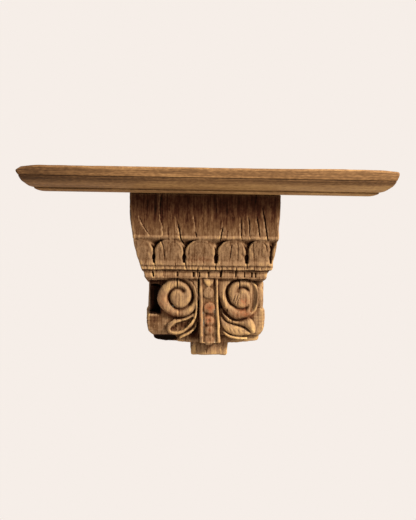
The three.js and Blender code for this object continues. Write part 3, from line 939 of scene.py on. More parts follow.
    def carve_leaves(self, timber: Timber) -> None:
        """Carves the pair of leaves under each scroll and the pocket beside the column."""
        left_leaf = rounded([
            (-20.2, 199.7), (-28.6, 205.4), (-38.1, 209.2), (-49.3, 210.2), (-57.6, 214.3), (-62.4, 220.2),
            (-63.6, 227.2), (-58.6, 233.8), (-48.4, 235.6), (-38.2, 233.2), (-28.6, 227.0), (-19.8, 218.2),
            (-15.2, 209.0), (-13.4, 200.4),
        ])
        left_hollow = rounded([
            (-20.4, 205.6), (-28.5, 210.2), (-39.7, 213.8), (-50.0, 218.2), (-57.8, 225.8), (-54.4, 230.4),
            (-42.5, 230.2), (-32.4, 225.4), (-23.9, 217.8), (-18.8, 210.0),
        ])
        right_lobe = rounded([
            (28.0, 193.4), (33.6, 201.8), (42.4, 209.6), (49.7, 212.2), (59.3, 211.6), (70.5, 206.6),
            (77.7, 208.5), (83.7, 218.5), (85.0, 226.5), (83.4, 231.8), (79.0, 232.2), (72.1, 225.9),
            (62.5, 220.7), (52.9, 217.6), (43.3, 215.4), (35.2, 211.0), (29.6, 203.0),
        ])
        right_under = rounded([
            (26.6, 203.4), (24.2, 211.4), (26.6, 219.4), (33.8, 228.6), (42.6, 234.1), (51.5, 236.9),
            (64.3, 236.9), (75.6, 235.0), (79.2, 233.3), (72.3, 227.6), (62.7, 222.8), (51.4, 219.7),
            (41.8, 216.6), (34.6, 211.9),
        ])
        self.raise_shape(timber, left_leaf, 124, 138.2, 3.4, 1.0)
        self.sink_shape(timber, left_hollow, 130.6, 1.2)
        self.raise_shape(timber, right_under, 124, 134.6, 4.0, 1.0, dome=2.6)
        self.raise_shape(timber, right_lobe, 124, 137.6, 6.0, 0.8, dome=2.8)
        pocket = [
            (-11.4, 214.0), (-16.4, 225.8), (-22.6, 232.6), (-24.6, 240.0), (-23.0, 246.2), (-10.4, 246.8),
        ]
        self.sink_shape(timber, pocket, 120.5, 0.8)
        ridges = (
            ([(-13.6, 216.0), (-18.7, 226.1), (-28.4, 234.1), (-38.0, 238.8), (-44.4, 243.6)],
             [2.0, 4.2, 4.8, 4.4, 2.4], 130.4, 3.0),
            ([(29.3, 229.5), (35.7, 235.2), (43.8, 239.2), (56.7, 241.4), (71.2, 241.6)],
             [2.0, 4.0, 4.6, 4.4, 3.0], 129.4, 3.0),
            ([(-24.9, 143.6), (-19.8, 150.4), (-16.6, 158.7), (-15.2, 168.5), (-14.7, 180.3), (-14.2, 191.5),
              (-16.0, 203.1), (-20.6, 212.4), (-27.8, 221.4), (-35.0, 227.6), (-44.0, 231.6)],
             [1.6, 2.4, 2.4, 2.8, 3.0, 3.2, 3.0, 2.4, 2.2, 2.0, 1.4], 138.2, 1.9),
            ([(-22.6, 204.4), (-31.0, 209.4), (-42.0, 212.4), (-52.0, 217.4), (-58.6, 225.6)],
             [1.2, 1.8, 2.0, 2.0, 1.4], 138.0, 1.7),
            ([(38.3, 144.4), (32.4, 158.1), (30.8, 169.3), (33.2, 182.5), (39.0, 193.6)],
             [1.8, 2.6, 3.0, 2.8, 1.6], 138.4, 1.6),
            ([(43.1, 143.6), (38.6, 149.0), (35.9, 154.3)], [1.2, 2.0, 1.2], 139.2, 1.4),
            ([(30.2, 198.6), (36.0, 205.4), (43.6, 210.6), (50.6, 212.8)], [1.4, 2.4, 2.4, 1.4], 137.4, 1.6),
        )
        for path, widths, middle, depth in ridges:
            self.stroke(timber, Face.FRONT, path, widths, middle, depth, False, 1.2)
        # Cuts beside the stem and the leaves, chisel marks across the right eye, and a leaf's veins.
        veins = ((36.5, 214.0, 229.0), (43.5, 218.0, 233.5), (51.0, 220.5, 235.5),
                 (58.5, 222.5, 236.0), (66.0, 225.0, 235.8), (73.0, 228.5, 235.0))
        cuts = (
            ([(-28.0, 140.5), (-20.5, 148.0), (-15.6, 157.0), (-12.8, 167.5)],
             [1.4, 1.8, 1.4, 0.8], 140.4, 2.0),
            ([(44.2, 186.0), (48.0, 176.4), (51.8, 166.4)], [0.9, 1.6, 0.9], 139.9, 2.4),
            ([(48.0, 187.6), (51.8, 177.6), (55.2, 167.2)], [0.9, 1.7, 0.9], 139.9, 2.4),
            ([(52.4, 188.4), (55.2, 179.0), (58.0, 170.0)], [0.9, 1.5, 0.8], 139.9, 2.4),
            ([(-50.5, 208.4), (-38.0, 208.2), (-28.5, 204.9), (-21.0, 199.5)],
             [0.9, 1.5, 2.0, 1.2], 137.0, 4.0),
            ([(34.5, 197.4), (44.6, 206.6), (55.5, 211.6), (63.5, 211.2)],
             [1.0, 1.8, 1.6, 0.9], 136.8, 3.0),
            ([(30.0, 204.6), (38.4, 213.4), (50.6, 218.4), (62.6, 221.6), (72.2, 226.8), (79.4, 232.8)],
             [0.8, 1.1, 0.9, 1.2, 1.7, 0.9], 136.2, 2.6),
            ([(27.0, 219.5), (34.6, 229.2), (43.2, 234.6), (52.3, 237.4), (64.3, 237.6)],
             [0.8, 1.1, 1.2, 1.1, 0.8], 132.2, 2.2),
            *(([(x - 5.5, top + 0.5), (x - 2.0, (top + end) / 2), (x + 0.8, end)],
               [0.7, 1.3, 0.7], 136.5, 2.0) for x, top, end in veins),
        )
        for path, widths, middle, depth in cuts:
            self.stroke(timber, Face.FRONT, path, widths, middle, depth, True, 0.8)

    def carve_side(self, timber: Timber, side: Face, half: float) -> None:
        """Carves the scroll and the ribbed upright on a side.

        Args:
            timber: The block.
            side: Which side.
            half: Distance of the scroll's face from the block's middle.
        """
        sign = -1 if side is Face.LEFT else 1
        window = timber.window((-130, 0) if sign < 0 else (0, 130), (-5, 120), (136, 240))
        across, reach, drop = timber.coordinates(window)
        out = sign * across
        root = 74  # both shapes grow out from this far from the block's middle
        disc_reach, disc_drop, disc_radius = 73, 174.2, 33
        disc = np.sqrt((reach - disc_reach) ** 2 + (drop - disc_drop) ** 2) - disc_radius
        neck = [(36, 139), (60, 139), (73, 174), (54, 205), (36, 208)]
        stem = outline_distance(neck, reach[0, :, :], drop[0, :, :])
        flat = smooth_min(disc, stem[None, :, :], 3.0)
        scroll = smooth_max(flat, out - half, 6.0)
        timber.add(window, np.maximum(scroll, root - out), 1.0)
        upright_reach, upright_drop, sunk = 20, 187, 5
        beside, along = np.abs(reach - upright_reach), np.abs(drop - upright_drop)
        upright = np.maximum(beside - 17.5, along - 49)
        channel = np.maximum(beside - 12, along - 45)
        timber.add(window, np.maximum(smooth_max(upright, out - half, 2.5), root - out), 0.8)
        timber.cut(window, smooth_max(channel, half - sunk - out, 1.5), 0.8)
        rib = np.maximum(np.sqrt(beside**2 + (out - half + sunk) ** 2) - 6.2, along - 43)
        timber.add(window, rib, 0.8)
        # The groove circles the scroll's eye and opens out over its last turn.
        eye_reach, eye_drop, eye_radius = 71, 175.5, 18.3
        turns = np.radians(np.linspace(80, 475, 22))
        opening = np.clip((np.degrees(turns) - 330) / 145, 0, 1) ** 1.15
        groove = [
            (float(eye_reach - radius * math.cos(turn)), float(eye_drop - radius * math.sin(turn)))
            for turn, radius in zip(turns, eye_radius + 19 * opening)
        ]
        self.stroke(timber, side, groove, [4.0, 6.4, 7.0, 6.4, 4.4], half - 0.6, 1.5, True, 2.6)

    def column_middle(self, drop: Array) -> Array:
        """The column's middle line, across, at a drop."""
        return 6.3 + (drop - 140) * 0.041

    def carve_column(self, timber: Timber) -> None:
        """Carves the column between the scrolls, with its two fillets, bud and string of beads."""
        window = timber.window((-20, 36), (108, 154), (134, 256))
        across, reach, drop = timber.coordinates(window)
        offset = across - self.column_middle(drop)
        half = self.column_half + (drop - 140) * 0.014
        front = self.column_front + 0.5 * np.sin(drop / 17.0)
        body = np.maximum(np.abs(offset) - half, np.maximum(drop - self.column_foot, 136 - drop))
        timber.add(window, np.maximum(smooth_max(body, reach - front, 3.2), 110 - reach), 0.6)
        channel = np.maximum(np.abs(offset) - (half - 5.2), np.maximum(drop - 246.8, 140.6 - drop))
        timber.cut(window, smooth_max(channel, 140.2 - reach, 1.2), 2.0)
        bud = rounded([
            (-3.8, 139.4), (14.8, 139.4), (13.6, 146.0), (9.8, 151.8), (5.6, 155.6), (1.2, 151.8),
            (-2.8, 146.0),
        ])
        self.raise_shape(timber, bud, 130, 142.6, 2.0, 0.5)
        self.sink_shape(timber, [(4.2, 139.5), (7.0, 139.5), (5.6, 143.2)], 139.0, 0.4)
        # Each bead's drop, width, nudge sideways and dimple.
        beads = (
            (164.8, 21.2, -0.6, 0.0),
            (190.4, 20.8, -0.2, 2.0),
            (211.4, 19.2, -0.9, 2.0),
            (227.8, 18.4, -1.4, 1.3),
            (242.6, 18.8, -2.0, 0.0),
        )
        middles = [(float(self.column_middle(t)) + nudge, t) for t, _, nudge, _ in beads]
        string = [(x, t, 0.0) for x, t in middles]
        widths = [width for _, width, _, _ in beads]
        corners, triangles = self.tools.run(self.tools.beads, string, widths, False, flatness=0.78)
        place, shape = timber.voxels(self.placed(Face.FRONT, corners, self.beads_reach), triangles)
        timber.add(place, shape, 0.4)
        # The beads' fronts are pared flat, and three of them have a dimple.
        pared = np.maximum(np.abs(offset) - (half - 6.0), np.maximum(154 - drop, drop - 246))
        timber.cut(window, np.maximum(pared, 143.4 - reach), 1.6)
        for (x, t), (_, _, _, radius) in zip(middles, beads):
            if radius:
                dimple = np.sqrt((across - x) ** 2 + (drop - t) ** 2 + (reach - 144.4) ** 2) - radius - 0.5
                timber.cut(window, dimple, 1.2)
        # A ring is scratched in the first bead.
        first_x, first_t = middles[0]
        ring = np.abs(np.sqrt((across - first_x) ** 2 + (drop - first_t) ** 2) - 6.6) - 0.5
        timber.cut(window, np.maximum(ring, 142.7 - reach), 0.8)

    def cut_band_blocks(self, timber: Timber) -> None:
        """Sinks the lower band, cuts it into blocks and nicks the upper band, on each face."""
        top, foot = self.block_row
        sunk = np.maximum(np.abs(timber.drop - (top + foot) / 2) - (foot - top) / 2, -(self.sawn + 1.5))
        timber.values = smooth_max(timber.values, -sunk, 0.8).astype(np.float32)
        blocks = [(-85.8, 2.0), (-45.8, 2.4), (-18.7, 2.8), (-9.4, 2.2), (6.1, 1.8), (26.3, 2.6), (51.0, 2.0),
                  (65.8, 1.8), (78.2, 2.4), (84.6, 2.0)]
        middle = (top + foot) / 2
        self.notch(timber, Face.FRONT, blocks, middle, 144.0, 8.4, 6.0)
        ticks = [(x + 2.2 * math.sin(2.3 * i), 0.9 + 0.3 * math.sin(4.1 * i)) for i, x in
                 enumerate(np.arange(-97, 108, 9.4))]
        self.notch(timber, Face.FRONT, ticks, 123.4, 149.6, 4.2, 2.2)
        for face, half in ((Face.LEFT, 102.0), (Face.RIGHT, 104.8)):
            row = [(123.5 - 17.5 * k, 2.2) for k in range(7)]
            self.notch(timber, face, row, middle, half, 8.4, 7.0)
            fine = [(138 - 9.4 * k + 1.6 * math.sin(2.3 * k), 1.1) for k in range(14)]
            self.notch(timber, face, fine, 123.4, half + 6.0, 4.4, 3.2)

    def notch(self, timber: Timber, face: Face, row: Sequence[Point], drop: float, middle: float,
              height: float, depth: float) -> None:
        """Chisels a row of upright notches into a face."""
        points = [(a, drop, 0.0) for a, _ in row]
        corners, triangles = self.tools.run(
            self.tools.notches, points, [w for _, w in row], False, height=height, depth=depth
        )
        window, shape = timber.voxels(self.placed(face, corners, middle), triangles)
        timber.cut(window, shape, 1.0)

    def wear(self, timber: Timber) -> None:
        """Rubs the edges down, leaves the carver's unevenness and draws chisel marks on the corner block."""
        limit = 6.0
        timber.values = np.clip(timber.values, -limit, limit)
        rubbed = soften(timber.values, 3)
        timber.values = smooth_max(timber.values, rubbed, 0.3)
        uneven = 0.5 * ripple(timber.axes, (17, 15, 21), 3) + 0.22 * ripple(timber.axes, (6, 6, 9), 4)
        grain = 0.2 * ripple(timber.axes, (2.4, 2.4, 52), 5)
        rough = 0.16 * ripple(timber.axes, (3.1, 3.1, 4.4), 7)
        timber.values += uneven + grain + rough
        # The left leaf's hollow is stippled.
        hollow = spot(timber.across, timber.drop, (-38.0, 220.0), (25.0, 12.0))
        hollow = hollow * (np.abs(timber.reach - 131.4) < 4)
        timber.values += 1.5 * np.clip(1.4 * hollow, 0, 1) * ripple(timber.axes, (3.2, 3.2, 3.2), 9)
        drop = timber.axes[2]
        outer = np.clip((np.abs(timber.axes[0]) - 60) / 4, 0, 1)[:, None, None]
        marks = np.clip(np.minimum(drop - 201, 234 - drop) / 4, 0, 1)[None, None, :]
        timber.values += 0.5 * outer * marks * ripple(timber.axes, (34, 34, 2.6), 6)

    def cracks(self) -> list[Crack]:
        """The drying cracks of the front."""
        return [
            Crack([(-73.2, 2), (-74.6, 16.7), (-75.0, 30), (-73.6, 44), (-70.6, 52), (-69.4, 68.4)],
                  0.9, 1.2, 1.0),
            Crack([(-71.4, 2), (-72.8, 12), (-73.2, 24)], 1.0, 1.6),
            Crack([(-73.0, 71), (-74.0, 77), (-71.4, 84), (-71.8, 88)], 0.9, 1.0, 1.0),
            Crack([(-71.0, 76), (-71.4, 82), (-69.3, 89), (-67.6, 102), (-68.1, 112)], 1.2, 2.2),
            Crack([(-61.9, 54), (-61.7, 71)], 0.8, 1.2, 0.4),
            Crack([(-45.4, 48), (-43.2, 62), (-39.9, 76), (-34.0, 86)], 1.5, 5.0, 0.7),
            Crack([(-47.4, 40), (-46.6, 63)], 0.8, 0.8, 0.8),
            Crack([(-19.2, 34), (-17.6, 50), (-16.6, 62)], 0.8, 0.8, 0.9),
            Crack([(-16.8, 62), (-15.2, 72)], 1.3, 3.0, 0.4),
            Crack([(24.8, 42), (24.5, 61)], 0.8, 1.2),
            Crack([(28.2, 54), (25.8, 65), (23.6, 79)], 1.4, 4.4, 0.5),
            Crack([(36.5, 58), (34.6, 72)], 0.9, 1.6, 0.3),
            Crack([(57.3, 38), (58.2, 54), (57.4, 62), (59.6, 78)], 1.1, 3.0, 0.7),
            Crack([(63.0, 46), (65.0, 66)], 0.8, 0.8, 0.8),
            Crack([(69.5, 34), (72.3, 55), (73.2, 75)], 1.0, 2.6, 0.5),
            Crack([(83.6, 33), (86.8, 54.8), (90.2, 74)], 1.1, 3.0, 0.3),
            Crack([(93.4, 22), (97.0, 43), (100.9, 69), (102.4, 76)], 1.4, 4.8, 0.2),
            Crack([(82.6, 1), (82.0, 7)], 1.3, 2.6),
            Crack([(-108.6, 38), (-103.2, 51), (-96.8, 62), (-91.0, 70)], 1.0, 1.4, 1.0),
            Crack([(43.8, 82), (42.1, 92), (40.4, 111)], 1.1, 2.0),
            Crack([(51.3, 80), (53.8, 90), (54.7, 111)], 1.0, 1.6, 0.3),
            Crack([(77.3, 80), (79.0, 88), (81.0, 111)], 1.0, 1.6),
            Crack([(95.7, 80), (99.1, 84), (102.4, 96)], 1.0, 1.4, 0.4),
            Crack([(-84.4, 112), (-83.0, 126)], 1.3, 2.4, 0.8),
            Crack([(-87.6, 129), (-85.0, 139)], 1.8, 3.4),
            Crack([(-50.6, 114), (-49.0, 126)], 0.9, 1.4),
            Crack([(-33.4, 112), (-31.6, 126)], 1.1, 1.8, 0.7),
            Crack([(-12.6, 121), (-12.7, 139)], 1.3, 2.2),
            Crack([(18.2, 112), (17.2, 126)], 1.3, 2.4),
            Crack([(27.9, 117), (26.8, 139)], 1.2, 2.2),
            Crack([(52.1, 121), (50.4, 139)], 1.1, 2.0),
            Crack([(68.6, 110), (69.0, 126)], 1.3, 2.6),
            Crack([(-46.2, 140), (-46.0, 159)], 1.4, 4.0),
            Crack([(-56.8, 150), (-57.0, 160)], 0.8, 1.0),
            Crack([(56.9, 142), (57.6, 159)], 1.4, 3.6),
            Crack([(-44.1, 194), (-43.2, 207)], 0.8, 0.8, 0.6),
            Crack([(-10.7, 138), (-10.9, 150), (-10.6, 160), (-10.4, 171)], 1.7, 6.5),
            Crack([(22.4, 138), (22.8, 165), (24.0, 190), (25.2, 212)], 0.9, 1.2),
            Crack([(-55.5, 182), (-50.0, 190.5)], 0.8, 1.0),
            Crack([(37.5, 190), (38.0, 197)], 1.0, 1.8),
            Crack([(45.6, 211), (46.2, 218)], 1.0, 1.6),
            Crack([(-13.6, 255), (-14.4, 261), (-13.4, 267)], 1.8, 1.4, 0.9),
            Crack([(2.0, 262), (3.4, 270)], 1.0, 1.2, 0.5),
            Crack([(28.6, 258), (29.8, 266)], 1.0, 1.0, 0.6),
        ]

    def open_cracks(self, timber: Timber) -> None:
        """Opens the drying cracks in the front, the fine checks between them and a few in the sides."""
        across, _, drop = timber.axes
        a, b = across[:, None], drop[None, :]
        wander = 0.5 * ripple([across, drop], (14, 11), 8)
        gape = np.zeros((len(across), len(drop)), np.float32)
        pale = np.zeros_like(gape)
        for crack in self.cracks():
            path = rounded(self.leaned(crack.path), closed=False, steps=4)
            distance, share = path_distance(path, a + wander, b)
            taper = tapered(share, 1.6, 0.25)
            width = max(0.72 * crack.width, 0.85 * self.step) * (0.5 + 0.5 * taper)
            gape = np.maximum(gape, crack.depth * taper * np.clip(1.2 - distance / width, 0, 1))
            # Some cracks get a painted highlight beside their left edge, where the crack's wall faces the
            # light.
            if crack.pale:
                aside, _ = path_distance([(x - 1.5, t) for x, t in path], a + wander, b)
                pale = np.maximum(pale, crack.pale * np.clip(1.3 - aside / 1.1, 0, 1))
        self.crack_map = gape
        self.pale_map = pale
        # Short fine checks that follow the grain.
        rng = np.random.default_rng(11)
        fine = np.zeros_like(gape)
        for _ in range(self.fine_checks):
            x, t = rng.uniform(-118, 120), rng.uniform(2, 256)
            length, lean = rng.uniform(14, 58), rng.uniform(-0.03, 0.03) + 0.0005 * x
            bend = rng.uniform(-0.5, 0.5)
            path = [(x, t), (x + lean * length * 0.5 + bend, t + length / 2), (x + lean * length, t + length)]
            distance, share = path_distance(path, a + wander, b)
            taper = tapered(share, 1.0, 0.1)
            fine = np.maximum(fine, rng.uniform(0.3, 0.9) * taper * np.clip(1.1 - distance / self.step, 0, 1))
        self.check_map = fine
        near_front = np.clip((timber.axes[1] - 96) / 8, 0, 1)[None, :, None]
        timber.values += (0.55 * gape + 0.35 * fine)[:, None, :] * near_front
        reach = timber.axes[1]
        side = np.zeros((len(reach), len(drop)), np.float32)
        for _ in range(self.side_checks):
            y, t = rng.uniform(6, 160), rng.uniform(2, 240)
            length = rng.uniform(14, 60)
            path = [
                (y, t),
                (y + rng.uniform(-1.5, 1.5), t + length / 2),
                (y + rng.uniform(-2, 2), t + length),
            ]
            distance, share = path_distance(path, reach[:, None] + 0.4, b)
            taper = tapered(share, 1.0, 0.1)
            edge = np.clip(1.2 - distance / (1.1 * self.step), 0, 1)
            side = np.maximum(side, rng.uniform(0.8, 2.6) * taper * edge)
        near_side = np.clip((np.abs(across) - 66) / 6, 0, 1)[:, None, None] * (1 - near_front)
        timber.values += side[None, :, :] * near_side
        self.side_crack_map = side

    def flatten_back(self, timber: Timber) -> None:
        """Planes the back flat against the wall and the top flat under the board."""
        timber.values = np.maximum(timber.values, -timber.reach)
        timber.values = np.maximum(timber.values, 0.3 - timber.drop)

    def mesh(self, timber: Timber) -> bpy.types.Mesh:
        """Makes the corbel's mesh, thinned to the triangle limit.

        Args:
            timber: The carved block.

        Returns:
            The mesh in the row's frame, in metres.
        """
        points, quads, triangles = timber.polygons()
        mesh = mesh_from_arrays("carved_corbel_wood", turned(points) * MM, quads, triangles)
        whole = 2 * len(quads) + len(triangles)
        log.info("corbel surface: %d triangles before thinning", whole)
        thing = link_object("thinning", mesh)
        if whole > self.triangle_limit:
            thinner = thing.modifiers.new("thin", "DECIMATE")
            thinner.ratio = self.triangle_limit / whole
            mesh = plain_mesh(thing)
        bpy.data.objects.remove(thing)
        work = bmesh.new()
        work.from_mesh(mesh)
        volume = work.calc_volume(signed=True)
        if volume < 0:
            bmesh.ops.reverse_faces(work, faces=work.faces)
        for face in work.faces:
            face.smooth = not (face.normal.y > 0.99 and face.calc_center_median().y > -0.3 * MM)
        work.to_mesh(mesh)
        work.free()
        return mesh

    def paint_masks(self, timber: Timber, mesh: bpy.types.Mesh) -> None:
        """Measures wear, hollows, cracks and old paint at each corner of the mesh, for the material, and
        where it paints light and shade.

        Args:
            timber: The carved block.
            mesh: Its mesh.
        """
        places = turned(read_corners(mesh) / MM)
        x, f, t = places.T
        held = np.clip(timber.values, -4, 4)
        # Blurred over about 2 mm, the field is high on an edge and low in a groove.
        near = timber.sample(soften(held, 5), places)
        coarse = (timber.values < 0).astype(np.float32)[::2, ::2, ::2]
        # Blurred over about 8 mm, the share of wood round a point is high in a deep hollow.
        wide = timber.sample(soften(coarse, 14), places, timber.step * 2)
        # The planed back has a few large triangles, so nothing is measured on it.
        carved = f > 0.4
        front = f > 100
        deep = np.clip(timber.read_map(self.crack_map, 0, x, t) / 2.2, 0, 1) * front
        fine = np.clip(timber.read_map(self.check_map, 0, x, t), 0, 1) * front
        side_crack = timber.read_map(self.side_crack_map, 1, f, t) * (f < 100) * (np.abs(x) > 70) * carved
        store(
            mesh,
            # Edges are made paler, partly as rubbed wear and partly as a painted highlight.
            worn=np.clip(near / 1.1, 0, 1) * carved,
            # Painted shade in grooves.
            grooved=np.clip(-near / 1.3, 0, 1) * carved,
            # Painted shade in deep hollows.
            hollow=np.clip((wide - 0.52) / 0.26, 0, 1) * carved,
            # Painted light on raised parts.
            proud=np.clip((0.5 - wide) / 0.22, 0, 1) * carved,
            # Painted shade inside the cracks.
            crack=np.clip(np.maximum(deep, np.maximum(0.68 * fine, 0.4 * side_crack)), 0, 1),
            # Painted shadow of the board, darkest right under it and fading out down the bell; all down to
            # the bands is darkened a little more.
            soot=(np.clip(1 - t / 66, 0, 1) ** 0.8 + 0.18 * np.clip((120 - t) / 16, 0, 1)) * carved,
            # Painted shade in the front's dark corners.
            dirt=self.dirt(x, f, t),
            # A painted highlight beside the left edge of some cracks, where the crack's wall faces the light.
            pale=timber.read_map(self.pale_map, 0, x, t) * front,
            # The wood's own uneven colour, with painted shade beside raised parts and along the steps of the
            # bands.
            patina=self.patina(x, f, t),
            paint=self.paint(x, f, t),
            speck=self.specks(x, f, t),
        )

    def loosen(self, timber: Timber, mesh: bpy.types.Mesh) -> None:
        """Lets every edge and line wander a little, as hand work does, and keeps the back and the top flat.

        Args:
            timber: The carved block.
            mesh: Its mesh.
        """
        co = read_corners(mesh) / MM
        places = turned(co)
        hold = np.clip(np.minimum(places[:, 1], places[:, 2]) / 6, 0, 1)
        axes = [axis[::3] for axis in timber.axes]
        shift = [
            0.65 * ripple(axes, (13, 13, 17), seed) + 0.35 * ripple(axes, (5.5, 5.5, 7), seed + 1)
            for seed in (21, 31)
        ]
        across, down = (hold * timber.sample(drift, places, timber.step * 3) for drift in shift)
        co[:, 0] += across
        co[:, 2] -= down
        mesh.vertices.foreach_set("co", (co * MM).astype(np.float32).ravel())
        mesh.update()

    def dirt(self, x: Array, f: Array, t: Array) -> Array:
        """Painted shade in the front's dark corners: the hollow left of the left scroll, under the left of
        the corner block, in the pocket and beside the column.
        """
        spots = (
            ((-86.0, 176.0), (17.0, 38.0), 1.4),
            ((-76.5, 193.0), (7.0, 13.0), 1.8),
            ((-66.0, 243.5), (23.0, 6.4), 2.2),
            ((-17.0, 236.0), (7.0, 13.0), 0.8),
            ((-11.5, 200.0), (3.0, 26.0), 0.3),
        )
        # The painted shade fades out down the sides and stays off the faces of the scrolls.
        down_side, past_edge = np.clip((f - 74) / 24, 0, 1), np.clip((x + 91.2) / 1.6, 0, 1)
        return strongest(x, t, spots) * down_side * past_edge * (f < 134)

    def patina(self, x: Array, f: Array, t: Array) -> Array:
        """How much lighter, or below zero darker, parts of the front are: partly the wood's own uneven
        colour, partly painted shade beside raised parts and along the steps of the bands.
        """
        shift = np.zeros(len(x), np.float32)
        patches = (
            ((-84.0, 220.0), (15.0, 19.0), -0.11), ((-82.0, 203.6), (13.0, 2.2), 0.26),
            ((-80.0, 212.0), (8.0, 11.0), 0.11), ((92.0, 214.0), (14.0, 26.0), 0.10),
            ((-38.0, 220.0), (20.0, 9.0), -0.07), ((52.0, 228.0), (32.0, 13.0), 0.12),
            ((12.0, 262.0), (36.0, 16.0), 0.04), ((82.0, 172.0), (5.0, 26.0), 0.07),
            ((91.0, 172.0), (3.0, 26.0), -0.26), ((70.0, 242.0), (30.0, 6.0), 0.12),
            ((52.0, 240.8), (20.0, 3.2), -0.07), ((60.0, 213.0), (12.0, 7.0), -0.10),
            ((62.0, 202.0), (26.0, 9.0), -0.14), ((-60.0, 30.0), (40.0, 26.0), -0.03),
            ((5.6, 146.0), (8.0, 8.0), 0.20), ((-5.4, 147.5), (2.4, 7.0), -0.22),
            ((-60.0, 156.0), (9.0, 8.0), 0.10), ((-26.0, 190.0), (8.0, 7.0), 0.09),
            ((-50.0, 204.0), (10.0, 4.0), -0.08), ((-38.0, 176.0), (6.0, 8.0), 0.06),
            ((46.0, 160.0), (6.0, 9.0), 0.08), ((36.0, 196.0), (6.0, 8.0), -0.09),
            ((26.0, 160.0), (5.0, 14.0), -0.08), ((16.6, 147.5), (2.4, 7.0), -0.22),
            ((8.6, 205.0), (8.0, 60.0), -0.08), ((-6.0, 205.0), (4.0, 56.0), -0.14),
            ((0.0, 95.0), (160.0, 20.0), 0.05), ((-50.0, 200.0), (30.0, 10.0), -0.06),
        )
        for middle, radii, amount in patches:
            shift += amount * spot(x, t, middle, radii)
        # Painted shade lies in dark lines along the steps of the bands, and the bands between them are made
        # lighter.
        dark_lines = ((119.8, 0.8, 0.10), (126.9, 1.0, 0.26), (130.2, 0.8, 0.09), (137.6, 0.8, 0.09),
                      (140.6, 2.6, 0.18))
        for line, half, amount in dark_lines:
            shift -= amount * np.clip(1.4 - np.abs(t - line) / half, 0, 1) * (f > 138)
        for line, half, amount in ((123.4, 2.4, 0.07), (133.9, 2.6, 0.10)):
            shift += amount * np.clip(1.4 - np.abs(t - line) / half, 0, 1)
        return shift * (f > 90)

    def paint(self, x: Array, f: Array, t: Array) -> Array:
        """Where the old red paint is left."""
        spots = (
            ((8.2, 190.4), (9.0, 9.0), 1.0), ((8.4, 211.4), (8.0, 8.0), 1.0),
            ((8.6, 227.8), (8.0, 8.0), 0.3), ((8.6, 242.6), (9.0, 6.0), 0.25),
            ((-5.0, 210.0), (3.4, 26.0), 0.45), ((66.0, 181.0), (9.5, 10.0), 0.7),
            ((66.0, 199.0), (20.0, 7.5), 0.6), ((82.0, 172.0), (5.0, 26.0), 0.04),
            ((-70.0, 180.0), (9.0, 16.0), 0.4), ((-52.0, 201.0), (16.0, 6.0), 0.35),
            ((-9.0, 108.0), (20.0, 6.0), 0.2), ((24.0, 254.0), (22.0, 14.0), 0.2),
        )
        top, foot = self.block_row
        in_row = 0.04 * (np.abs(t - (top + foot) / 2) < (foot - top) / 2)
        return np.maximum(strongest(x, t, spots), in_row) * (f > 110)

    def specks(self, x: Array, f: Array, t: Array) -> Array:
        """Where pale paint is left in the crevices beside the beads."""
        spots = (
            ((-1.4, 199.0), (1.5, 3.4), 1.0), ((-0.6, 214.0), (1.2, 6.0), 1.0),
            ((18.0, 195.5), (1.8, 3.6), 1.0), ((-0.2, 228.0), (1.0, 4.0), 1.0),
            ((-52.4, 187.6), (2.0, 1.6), 1.0), ((18.6, 247.0), (1.4, 2.6), 1.0),
        )
        return strongest(x, t, spots) * (f > 110)

    def build(self, material: bpy.types.Material) -> bpy.types.Object:
        """Carves the corbel, makes its mesh and puts it in the scene.

        Args:
            material: The old teak.

        Returns:
            The finished piece.
        """
        timber = self.carve()
        mesh = self.mesh(timber)
        self.paint_masks(timber, mesh)
        self.loosen(timber, mesh)
        mesh.materials.clear()
        mesh.materials.append(material)
        piece = link_object("carved_corbel_timber", mesh)
        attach(piece, BODY)
        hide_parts("carved_corbel")
        return piece


# The shelf board


